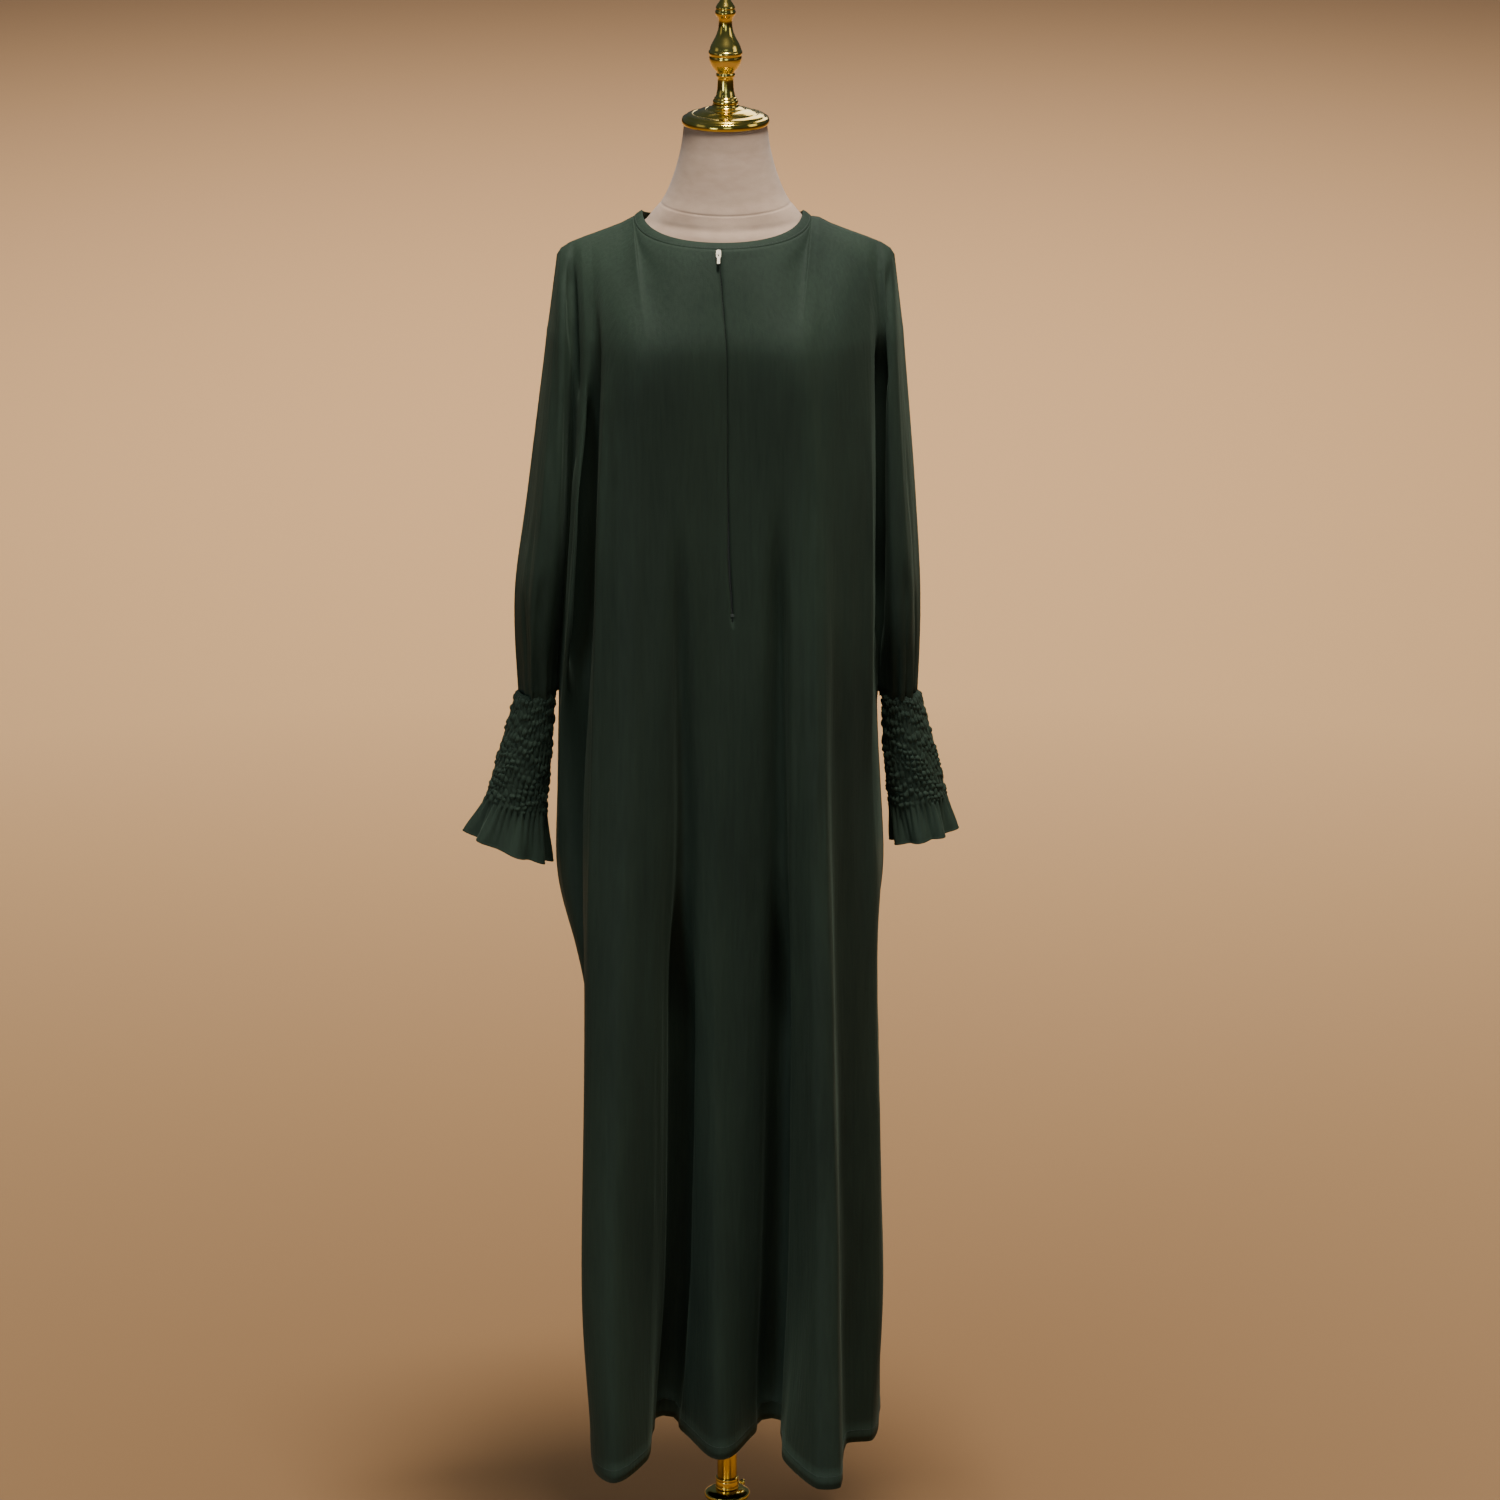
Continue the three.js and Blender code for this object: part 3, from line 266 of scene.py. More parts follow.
@dataclass(frozen=True)
class NeckEdge:
    """The oval that the neck is cut to, and the binding that covers its edge."""

    middle: float = -3.5
    half_width: float = 89.0
    front: float = 84.0
    back: float = 60.0
    side_height: float = 1635.0
    front_height: float = 1616.0
    back_height: float = 1619.0
    slope_side: float = 0.75
    slope_middle: float = 0.55
    binding: float = 9.5

    def at(self, degrees: np.ndarray, away: np.ndarray = 0.0) -> np.ndarray:
        """Points of the neck edge, or of a line at some distance outside it.

        Args:
            degrees: Turns: 0 is the right shoulder, 270 the front, 180 the left shoulder, 90 the back.
            away: Distance outwards from the edge.

        Returns:
            One point for each turn.
        """
        turn = np.radians(degrees)
        c, s = np.cos(turn), np.sin(turn)
        reach = np.where(s < 0, self.front, self.back)
        low = np.where(s < 0, self.front_height, self.back_height)
        sink = np.abs(s) * (1.5 - 0.5 * np.abs(s))
        slope = mix(self.slope_side, self.slope_middle, np.abs(s))
        x = self.middle + (self.half_width + away) * c
        y = (reach + away) * s
        z = mix(self.side_height, low, sink) - away * slope
        return np.stack([x, y, z], -1)


NECK = NeckEdge()


# ---------------------------------------------------------------- meshes
class MeshParts:
    """Points and faces that are gathered before they become one object."""

    def __init__(self) -> None:
        """Starts with nothing."""
        self.points: list[np.ndarray] = []
        self.faces: list[np.ndarray] = []
        self.count = 0

    def add(self, points: np.ndarray, *faces: np.ndarray) -> None:
        """Adds a loose part.

        Args:
            points: Its points in millimetres, one row each.
            faces: Arrays of faces of one size each, counted from the part's own first point.
        """
        self.points.append(np.asarray(points, float).reshape(-1, 3))
        self.faces.extend(np.asarray(face, int) + self.count for face in faces if len(face))
        self.count += len(self.points[-1])

    def build(self, name: str, finish: Material, sharp_over: float = 180.0) -> Piece:
        """Makes the object, with only the points that its faces use.

        Args:
            name: Name of the object and its mesh.
            finish: Its material.
            sharp_over: Edges that turn more than this many degrees are shaded sharp.

        Returns:
            The object, linked to the scene.
        """
        points = np.concatenate(self.points)
        corners = np.concatenate([face.ravel() for face in self.faces])
        sizes = np.concatenate([np.full(len(face), face.shape[1]) for face in self.faces])
        used, corners = np.unique(corners, return_inverse=True)
        mesh = bpy.data.meshes.new(name)
        mesh.vertices.add(len(used))
        mesh.vertices.foreach_set("co", (points[used] * METRE).astype(np.float32).ravel())
        mesh.loops.add(len(corners))
        mesh.loops.foreach_set("vertex_index", corners.astype(np.int32).ravel())
        mesh.polygons.add(len(sizes))
        mesh.polygons.foreach_set("loop_start", (np.cumsum(sizes) - sizes).astype(np.int32))
        mesh.polygons.foreach_set("use_smooth", np.ones(len(sizes), bool))
        mesh.update(calc_edges=True)
        mesh.validate()
        if sharp_over < 180.0:
            mesh.set_sharp_from_angle(angle=math.radians(sharp_over))
        mesh.materials.append(finish)
        made = bpy.data.objects.new(name, mesh)
        bpy.context.scene.collection.objects.link(made)
        return made


def cell_corners(rows: int, wide: int, wrap: bool) -> np.ndarray:
    """Point numbers of every cell of a grid, going down and then across.

    Args:
        rows: How many rows of points there are.
        wide: How many points a row has.
        wrap: Whether the last point of a row joins the first.

    Returns:
        Point numbers as [row, step, corner].
    """
    step = np.arange(wide if wrap else wide - 1)[None, :]
    row = np.arange(rows - 1)[:, None]
    beside = (step + 1) % wide
    here, below = row * wide, (row + 1) * wide
    return np.stack([here + step, below + step, below + beside, here + beside], -1)


def grid_normals(grid: np.ndarray, cells: np.ndarray, wrap: bool, flip: bool) -> np.ndarray:
    """Unit normals of a grid of points, from the cells that are cloth.

    Args:
        grid: Points as [row, step].
        cells: Which cells are cloth.
        wrap: Whether the last step joins the first.
        flip: Whether the outside is the other side.

    Returns:
        One normal for each point, zero where no cloth is.
    """
    rows, wide = grid.shape[:2]
    corners = cell_corners(rows, wide, wrap)
    flat = np.nan_to_num(grid.reshape(-1, 3))
    a, b, c, d = (flat[corners[..., k]] for k in range(4))
    face = unit(np.cross(c - a, d - b))
    face = np.where(cells[..., None], face, 0.0) * (-1.0 if flip else 1.0)
    total = np.zeros_like(flat)
    for k in range(4):
        np.add.at(total, corners[..., k].ravel(), face.reshape(-1, 3))
    return unit(total).reshape(grid.shape)


def add_wall(
    parts: MeshParts,
    grid: np.ndarray,
    normals: np.ndarray,
    thickness: np.ndarray,
    cells: np.ndarray,
    wrap: bool = False,
    flip: bool = False,
) -> None:
    """Adds a closed wall of cloth: the outer points, the same points moved in, and a rim round each edge.

    Args:
        parts: What the wall is added to.
        grid: Outer points as [row, step].
        normals: Their normals.
        thickness: Thickness of the wall, one number or one for each point.
        cells: Which cells are cloth.
        wrap: Whether the last step joins the first.
        flip: Whether the outside is the other side.
    """
    rows, wide = grid.shape[:2]
    corners = cell_corners(rows, wide, wrap)
    deep = np.broadcast_to(np.asarray(thickness, float), grid.shape[:2])[..., None]
    inside = grid - normals * deep
    points = np.nan_to_num(np.concatenate([grid.reshape(-1, 3), inside.reshape(-1, 3)]))
    count = rows * wide
    ring = corners[cells]
    outer = ring[:, ::-1] if flip else ring
    inner = (ring if flip else ring[:, ::-1]) + count
    padded = np.pad(cells, ((1, 1), (0, 0) if wrap else (1, 1)))
    middle = padded[1:-1] if wrap else padded[1:-1, 1:-1]
    left = np.roll(middle, 1, 1) if wrap else padded[1:-1, :-2]
    right = np.roll(middle, -1, 1) if wrap else padded[1:-1, 2:]
    below = padded[2:] if wrap else padded[2:, 1:-1]
    above = padded[:-2] if wrap else padded[:-2, 1:-1]
    rims = []
    for k, beside in enumerate((left, below, right, above)):
        edge = corners[cells & ~beside]
        first, second = edge[:, k], edge[:, (k + 1) % 4]
        if flip:
            first, second = second, first
        rims.append(np.stack([second, first, first + count, second + count], -1))
    parts.add(points, outer, inner, *rims)


def arc_length(grid: np.ndarray) -> np.ndarray:
    """Distance along each row of a grid from its first point; gaps count as nothing."""
    step = np.linalg.norm(np.diff(grid, axis=1), axis=-1)
    return np.concatenate([np.zeros((len(grid), 1)), np.cumsum(np.nan_to_num(step), 1)], 1)


def along(path: np.ndarray) -> np.ndarray:
    """Distance of each point of a path from its start."""
    return np.concatenate([[0.0], np.cumsum(np.linalg.norm(np.diff(path, axis=0), axis=1))])


def resampled(path: np.ndarray, places: np.ndarray) -> np.ndarray:
    """Points of a path, or values beside it, at distances along it."""
    return np.stack([np.interp(places, along(path[:, :3]), path[:, k]) for k in range(path.shape[1])], -1)


def unit_circles(side: np.ndarray, up: np.ndarray, sides: int) -> np.ndarray:
    """Circles of radius 1 in the plane of each pair of directions, as [circle, corner]."""
    turn = round_angles(sides)
    return side[:, None] * np.cos(turn)[None, :, None] + up[:, None] * np.sin(turn)[None, :, None]


def tube_faces(rings: int, sides: int) -> tuple[np.ndarray, np.ndarray]:
    """Faces of a tube of rings, facing away from an axis that runs from up to side.

    Args:
        rings: How many rings it has.
        sides: How many corners a ring has.

    Returns:
        The faces of its skin, and the two that close its ends.
    """
    skin = cell_corners(rings, sides, True).reshape(-1, 4)
    ring = np.arange(sides)
    return skin, np.stack([ring, ring[::-1] + (rings - 1) * sides])


@dataclass(frozen=True)
class Stitching:
    """A run of machine stitches that stand a little out of the cloth.

    Each row of the profile has a place along the stitch, and its thickness and height there as
    shares of half the thread.
    """

    pitch: float = 3.2
    length: float = 2.5
    thread: float = 0.34
    lift: float = 0.05
    sides: int = 6
    profile: tuple[Triple, ...] = (
        (0.0, 0.25, -1.0), (0.14, 0.85, -0.1), (0.5, 1.0, 0.5), (0.86, 0.85, -0.1), (1.0, 0.25, -1.0),
    )

    def add_run(self, parts: MeshParts, path: np.ndarray, normals: np.ndarray) -> None:
        """Adds one run.

        Args:
            parts: What the stitches are added to.
            path: Points on the cloth.
            normals: The cloth's normals there.
        """
        both = np.concatenate([path, normals], 1)
        starts = np.arange(0.5 * self.pitch, along(path)[-1] - self.length, self.pitch)
        ends = resampled(both, starts + self.length)
        both = resampled(both, starts)
        way = unit(ends[:, :3] - both[:, :3])
        out = unit(both[:, 3:])
        circles = unit_circles(np.cross(way, out), out, self.sides)
        radius = self.thread / 2
        rings = []
        for share, wide, high in self.profile:
            centre = both[:, :3] + way * (share * self.length) + out * (high * radius + self.lift)
            rings.append(centre[:, None] + circles * (wide * radius))
        skin, caps = tube_faces(len(rings), self.sides)
        first = (np.arange(len(starts)) * len(rings) * self.sides)[:, None, None]
        parts.add(np.stack(rings, 1), (skin + first).reshape(-1, 4), (caps + first).reshape(-1, self.sides))


def add_tube(
    parts: MeshParts, path: np.ndarray, radius: float, sides: int = 8, closed: bool = False
) -> None:
    """Adds a round tube along a path.

    Args:
        parts: What the tube is added to.
        path: Its centreline.
        radius: Its radius.
        sides: Corners round it.
        closed: Whether the path's end joins its start.
    """
    count = len(path)
    way = unit(np.roll(path, -1, 0) - np.roll(path, 1, 0) if closed else np.gradient(path, axis=0))
    upright = np.abs(way[:, 2:]) > STEEP
    side = unit(np.cross(way, np.where(upright, [[0.0, 1.0, 0.0]], [[0.0, 0.0, 1.0]])))
    points = path[:, None] + radius * unit_circles(side, np.cross(side, way), sides)
    skin, caps = tube_faces(count + 1 if closed else count, sides)
    parts.add(points, skin % (count * sides), *([] if closed else [caps]))


def add_turned(parts: MeshParts, grid: np.ndarray, hubs: np.ndarray, flip: bool) -> None:
    """Adds a skin through closed rings, with a fan of triangles over the first and the last.

    Args:
        parts: What the skin is added to.
        grid: Points of the rings as [row, step].
        hubs: Middles of the first and the last fan.
        flip: Whether the outside is the other side.
    """
    rows, wide = grid.shape[:2]
    step = np.arange(wide)
    beside = (step + 1) % wide
    last = (rows - 1) * wide
    hub = np.full_like(step, rows * wide)
    fans = [np.stack([beside, hub, step], -1), np.stack([last + step, hub + 1, last + beside], -1)]
    faces = [cell_corners(rows, wide, True).reshape(-1, 4), np.concatenate(fans)]
    points = np.concatenate([grid.reshape(-1, 3), hubs])
    parts.add(points, *(face[:, ::-1] if flip else face for face in faces))


def worn(piece: Piece, slot: str, *nodes: str) -> Piece:
    """Lets a piece ride on the dress's body and hides the nodes that it replaces.

    Args:
        piece: The new piece.
        slot: Not used.
        nodes: The nodes that it replaces.

    Returns:
        The same piece.
    """
    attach(piece, DRESS_BODY)
    if nodes:
        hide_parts(*nodes)
    return piece


# ---------------------------------------------------------------- finishes
class Shader:
    """A material and short ways to add nodes to it."""

    def __init__(self, name: str, **values: object) -> None:
        """Makes the material and sets its principled shader's sockets.

        Args:
            name: Name of the material.
            values: A value for each socket; an underscore stands for a space.
        """
        self.material = bpy.data.materials.new(name)
        self.material.use_nodes = True
        self.tree = self.material.node_tree
        self.surface = next(node for node in self.tree.nodes if node.type == "BSDF_PRINCIPLED")
        for socket, value in values.items():
            self.surface.inputs[socket.replace("_", " ")].default_value = value

    def give(self, socket: Socket, value: object) -> None:
        """Sets an input.

        Args:
            socket: The input.
            value: Its value, or the socket that feeds it.
        """
        if isinstance(value, Socket):
            self.tree.links.new(value, socket)
        else:
            socket.default_value = value

    def add(self, kind: str, settings: dict[str, object] | None = None, **inputs: object) -> bpy.types.Node:
        """Adds a node.

        Args:
            kind: Its type after "ShaderNode".
            settings: Its own properties.
            inputs: A value for each input, or the socket that feeds it; an underscore stands for a space.

        Returns:
            The node.
        """
        node = self.tree.nodes.new("ShaderNode" + kind)
        for name, value in (settings or {}).items():
            setattr(node, name, value)
        for name, value in inputs.items():
            self.give(node.inputs[name.replace("_", " ")], value)
        return node

    def math(self, operation: str, *values: object) -> Socket:
        """Adds a math node.

        Args:
            operation: What it works out.
            values: A number, or the socket that feeds it, for each input in turn.

        Returns:
            Its result.
        """
        node = self.add("Math", {"operation": operation})
        for socket, value in zip(node.inputs, values):
            self.give(socket, value)
        return node.outputs["Value"]

    def noise(self, size: float, detail: float = 2.0, across: float = 1.0, down: float = 1.0) -> Socket:
        """Adds noise in the object's own space.

        Args:
            size: How fine it is.
            detail: How many finer layers it has.
            across: Below 1 draws it out across.
            down: Below 1 draws it out up and down.

        Returns:
            The noise, from 0 to 1.
        """
        place = self.add("TexCoord").outputs["Object"]
        stretched = self.add("Mapping", Vector=place, Scale=(across, across, down)).outputs["Vector"]
        return self.add("TexNoise", Vector=stretched, Scale=size, Detail=detail).outputs["Fac"]

    def ramp(self, value: Socket, *stops: tuple[float, Triple]) -> Socket:
        """Turns a value into a colour.

        Args:
            value: A value from 0 to 1.
            stops: A place and its colour for each step.

        Returns:
            The colour.
        """
        node = self.add("ValToRGB", Fac=value)
        steps = node.color_ramp.elements
        while len(steps) < len(stops):
            steps.new(0.5)
        for step, (place, colour) in zip(steps, stops):
            step.position = place
            step.color = (*colour, 1.0)
        return node.outputs["Color"]

    def span(self, value: Socket, low: float, high: float) -> Socket:
        """A value from 0 to 1, spread from low to high."""
        return self.add("MapRange", Value=value, To_Min=low, To_Max=high).outputs["Result"]

    def bump(self, height: Socket, depth: float, strength: float, under: Socket | None = None) -> Socket:
        """Adds a bump.

        Args:
            height: Its height, from 0 to 1.
            depth: Its depth in metres.
            strength: How much of it shows.
            under: Another bump that it lies on.

        Returns:
            The normal.
        """
        node = self.add("Bump", Height=height, Distance=depth, Strength=strength)
        if under is not None:
            self.give(node.inputs["Normal"], under)
        return node.outputs["Normal"]

    def feed(self, socket: str, source: Socket) -> None:
        """Links a source to a socket of the principled shader."""
        self.tree.links.new(source, self.surface.inputs[socket])


@dataclass(frozen=True)
class Crepe:
    """Matte crepe: pebbly grain, fine upright crinkles and a soft sheen."""

    name: str = "crepe"
    dark: Triple = (0.0125, 0.020, 0.0135)
    light: Triple = (0.022, 0.035, 0.022)
    sheen: tuple[float, float, float, float] = (0.55, 0.75, 0.55, 1.0)
    crinkle: float = 0.0011

    def material(self) -> Material:
        """Builds the material.

        Returns:
            The finished material.
        """
        shader = Shader(
            self.name,
            Roughness=0.75,
            Specular_IOR_Level=0.14,
            Sheen_Weight=0.07,
            Sheen_Roughness=0.45,
            Sheen_Tint=self.sheen,
        )
        crinkle = shader.noise(260.0, 4.0, down=0.07)
        broad = shader.noise(9.0, 3.0, down=0.3)
        warp = shader.noise(1500.0, 1.0, down=0.3)
        weft = shader.noise(1500.0, 1.0, across=0.35)
        grain = shader.math("MULTIPLY", warp, weft)
        tone = shader.math("MULTIPLY_ADD", crinkle, 0.45, broad)
        shader.feed("Base Color", shader.ramp(tone, (0.45, self.dark), (0.95, self.light)))
        shader.feed("Normal", shader.bump(grain, 0.0005, 0.5, shader.bump(crinkle, self.crinkle, 0.55)))
        return shader.material


@dataclass(frozen=True)
class Thread:
    """Twisted sewing thread or elastic."""

    name: str
    colour: Triple
    shade: float = 0.55

    def material(self) -> Material:
        """Builds the material.

        Returns:
            The finished material.
        """
        shader = Shader(self.name, Roughness=0.6, Sheen_Weight=0.2)
        twist = shader.noise(2600.0, 1.0)
        darker = tuple(self.shade * part for part in self.colour)
        shader.feed("Base Color", shader.ramp(twist, (0.3, darker), (0.7, self.colour)))
        shader.feed("Normal", shader.bump(twist, 0.0002, 0.6))
        return shader.material


@dataclass(frozen=True)
class TapeWeave:
    """Ribbed woven tape of a zip."""

    name: str = "tape_weave"
    dark: Triple = (0.006, 0.009, 0.007)
    light: Triple = (0.016, 0.022, 0.017)

    def material(self) -> Material:
        """Builds the material.

        Returns:
            The finished material.
        """
        shader = Shader(self.name, Roughness=0.85, Specular_IOR_Level=0.2)
        place = shader.add("TexCoord").outputs["Object"]
        bands = {"wave_type": "BANDS", "bands_direction": "Z"}
        ribs = shader.add("TexWave", bands, Vector=place, Scale=320.0, Distortion=0.6).outputs["Fac"]
        shader.feed("Base Color", shader.ramp(ribs, (0.2, self.dark), (0.9, self.light)))
        shader.feed("Normal", shader.bump(ribs, 0.0003, 0.5))
        return shader.material


@dataclass(frozen=True)
class JerseyCover:
    """Off-white knit that is stretched over the form."""

    name: str = "jersey_cover"
    light: Triple = (0.44, 0.31, 0.22)
    shade: Triple = (0.32, 0.215, 0.145)

    def material(self) -> Material:
        """Builds the material.

        Returns:
            The finished material.
        """
        shader = Shader(
            self.name, Roughness=0.8, Specular_IOR_Level=0.3, Sheen_Weight=0.1, Sheen_Roughness=0.5
        )
        wales = shader.noise(1300.0, 1.0, down=0.35)
        slubs = shader.noise(60.0, 3.0, down=2.5)
        patches = shader.noise(8.0, 3.0, down=0.7)
        mixed = shader.math("MULTIPLY_ADD", slubs, 0.4, patches)
        shader.feed("Base Color", shader.ramp(mixed, (0.45, self.shade), (0.85, self.light)))
        shader.feed("Normal", shader.bump(wales, 0.0003, 0.35, shader.bump(slubs, 0.0006, 0.2)))
        return shader.material


@dataclass(frozen=True)
class PolishedGold:
    """Bright plated metal with faint turning lines and finger marks."""

    name: str = "polished_gold"
    bright: Triple = (0.92, 0.66, 0.14)
    deep: Triple = (0.80, 0.53, 0.08)

    def material(self) -> Material:
        """Builds the material.

        Returns:
            The finished material.
        """
        shader = Shader(self.name, Metallic=1.0, Roughness=0.12)
        marks = shader.noise(22.0, 5.0)
        lines = shader.noise(1800.0, across=0.05)
        shader.feed("Base Color", shader.ramp(marks, (0.35, self.deep), (0.65, self.bright)))
        shader.feed("Roughness", shader.span(marks, 0.07, 0.24))
        shader.feed("Normal", shader.bump(lines, 0.00008, 0.3))
        return shader.material


@dataclass(frozen=True)
class SatinMetal:
    """Light satin metal of the zip's slider and pull."""

    name: str = "satin_metal"
    dark: Triple = (0.17, 0.155, 0.12)
    light: Triple = (0.30, 0.275, 0.22)

    def material(self) -> Material:
        """Builds the material.

        Returns:
            The finished material.
        """
        shader = Shader(self.name, Metallic=1.0, Roughness=0.3)
        wear = shader.noise(700.0, 3.0)
        shader.feed("Base Color", shader.ramp(wear, (0.3, self.dark), (0.7, self.light)))
        shader.feed("Roughness", shader.span(wear, 0.34, 0.55))
        shader.feed("Normal", shader.bump(wear, 0.0001, 0.25))
        return shader.material


@dataclass(frozen=True)
class StudioFloor:
    """Warm floor with painted shade: darkest round the stand's foot as a painted shadow, palest in a ring
    some metres out, and darker again further out as painted light falloff.
    """

    # near is a painted shadow round the stand's foot; far is painted light falloff further out on the floor.
    near: Triple = (0.23, 0.125, 0.055)
    pale: Triple = (0.50, 0.30, 0.14)
    far: Triple = (0.31, 0.185, 0.10)
    reach: float = 12.0

    def material(self) -> Material:
        """Builds the material.

        Returns:
            The finished material.
        """
        shader = Shader("studio_floor", Roughness=0.85, Specular_IOR_Level=0.1)
        place = shader.add("TexCoord").outputs["Object"]
        out = shader.add("VectorMath", {"operation": "LENGTH"}, Vector=place).outputs["Value"]
        share = shader.add("MapRange", Value=out, From_Max=self.reach).outputs["Result"]
        # The ramp paints shade: a painted shadow near the middle, and painted light falloff towards the far
        # edge.
        shader.feed("Base Color", shader.ramp(share, (0.03, self.near), (0.3, self.pale), (0.95, self.far)))
        return shader.material


# ---------------------------------------------------------------- panels
@dataclass(frozen=True)
class Fold:
    """One fold line of a panel: its place at any height, and where it starts on the top edge."""

    name: str
    x: Callable[[np.ndarray], np.ndarray]
    y: Callable[[np.ndarray], np.ndarray]
    start: float

    @property
    def round_neck(self) -> bool:
        """Whether it starts on the neck edge, so that its start is a turn in degrees."""
        return self.name in NECK_FOLDS


def table_fold(name: str, start: float, x: Table, y: Table, sign: int = 1) -> Fold:
    """A fold line whose places are the columns of two tables, mirrored if the sign is -1."""
    return Fold(name, lambda z: sign * x.at(name, z), lambda z: y.at(name, z), start)


@dataclass(frozen=True)
class Crease:
    """A soft ridge or trough, laid one by one.

    The path has a fold number with its fraction and a height for each point. depth is in millimetres,
    above zero for a ridge, width is its half width, and rise is the share of it that each end takes.
    """

    path: tuple[tuple[float, float], ...]
    depth: float
    width: float
    rise: float = 0.25

    def height(self, across: np.ndarray, arc: np.ndarray, level: np.ndarray) -> np.ndarray:
        """Height that the crease adds to each point of a panel.

        Args:
            across: Fold number and fraction of each column.
            arc: Distance along each row.
            level: Height of each row over the floor.

        Returns:
            Millimetres outwards, as [row, step].
        """
        path = np.array(sorted(self.path, key=lambda point: point[1]))
        fold = np.interp(level, path[:, 1], path[:, 0])
        centre = np.array([np.interp(f, across, row) for f, row in zip(fold, arc)])
        span = path[-1, 1] - path[0, 1]
        share = (level - path[0, 1]) / span
        fade = eased(share / self.rise) * eased((1.0 - share) / self.rise)
        return self.depth * fade[:, None] * bell((arc - centre[:, None]) / self.width)


@dataclass(frozen=True)
class Ledge:
    """Where the cloth turns over the bust: it swells there and falls in again slowly below."""

    level: float = 1508.0
    depth: float = 4.0
    above: float = 30.0
    below: float = 210.0
    folds: tuple[float, float] = (6.2, 14.8)
    fade: float = 1.5

    def height(self, across: np.ndarray, level: np.ndarray) -> np.ndarray:
        """Height that the ledge adds to each point of a panel.

        Args:
            across: Fold number and fraction of each column.
            level: Height of each row over the floor.

        Returns:
            Millimetres outwards, as [row, step].
        """
        up = level - self.level
        profile = np.where(up > 0, bell(up / self.above), eased(1 + up / self.below))
        inside = eased((across - self.folds[0]) / self.fade) * eased((self.folds[1] - across) / self.fade)
        return self.depth * profile[:, None] * inside[None, :]


@dataclass(frozen=True)
class Sway:
    """Slow wave of hanging cloth that drifts sideways on its way down, and may come and go."""

    depth: float
    length: float
    drift: float
    start: float
    swell: float = math.inf
    swell_start: float = math.pi / 2

    def height(self, arc: np.ndarray, level: np.ndarray) -> np.ndarray:
        """Millimetres outwards at distances along rows of those levels."""
        wave = np.sin(arc / self.length + level / self.drift + self.start)
        return self.depth * wave * np.sin(level / self.swell + self.swell_start)


@dataclass(frozen=True)
class ChestEase:
    """Rounds the chest off below the ends of the shoulder seams, where its top edge has a corner.

    Each row's depth is averaged over its neighbours within reach, least at the top edge, past the
    bust and outside the shoulders.
    """

    reach: float = 17.0
    least: float = 0.2
    rows_past_bust: int = 8
    rise_rows: float = 10.0
    fall_rows: float = 9.0
    shoulder: float = 152.0
    shoulder_fade: float = 30.0

    def apply(self, grid: np.ndarray, chest_rows: int) -> None:
        """Moves the points of a panel's upper rows forwards or back.

        Args:
            grid: Points as [row, step].
            chest_rows: Row of the bust.
        """
        last = chest_rows + self.rows_past_bust
        for row in range(1, last):
            x, y = grid[row, :, 0], grid[row, :, 1]
            soft = float(eased(row / self.rise_rows) * eased((last - row) / self.fall_rows))
            wide = self.reach * soft + self.least
            share = bell((x[:, None] - x[None, :]) / wide) * np.gradient(x)[None, :]
            middle = (share * y[None, :]).sum(1) / share.sum(1)
            grid[row, :, 1] = mix(y, middle, eased((self.shoulder - np.abs(x)) / self.shoulder_fade))


@dataclass(frozen=True)
class Slit:
    """The zip's opening: the cloth of one step between two fold lines is left out down to its foot.

    Its edges wander a little, gape above the foot and turn in to the zip.
    """

    step: int
    foot: float = 1191.0
    half_gap: float = 0.35
    gape: float = 1.35
    gape_level: float = 1255.0
    gape_reach: float = 45.0
    wander: float = 0.3
    gape_wander: float = 0.9
    wander_length: float = 17.0
    turn_in: float = 1.0
    turn_reach: float = 2.2
    turn_shape: float = 1.3
    rows_past: int = 6
    fade_rows: float = 8.0

    def edge(self, way: int) -> Fold:
        """Makes the fold line of one edge.

        Args:
            way: -1 for the left edge, 1 for the right.

        Returns:
            The fold line.
        """

        def x(z: np.ndarray) -> np.ndarray:
            """Finds the place across at each height.

            Args:
                z: The heights.

            Returns:
                Millimetres across.
            """
            low = bell((z - self.gape_level) / self.gape_reach)
            wander = (self.wander + self.gape_wander * low) * np.sin(z / self.wander_length)
            return FRONT_LEFT_X.at("slit", z) + wander + way * (self.half_gap + self.gape * low)

        return Fold("slit", x, lambda z: FRONT_LEFT_Y.at("slit", z), SLIT_STARTS[way])

    def groove(self, off: np.ndarray, row: np.ndarray, last_row: int) -> np.ndarray:
        """How far the cloth turns in at the slit.

        Args:
            off: Distance of each point from the slit, as [row, step].
            row: Number of each row.
            last_row: Row on which the slit ends.

        Returns:
            Millimetres outwards, below zero, as [row, step].
        """
        fade = eased((last_row + self.rows_past - row) / self.fade_rows)
        return -self.turn_in * np.exp(-np.abs(off / self.turn_reach) ** self.turn_shape) * fade[:, None]


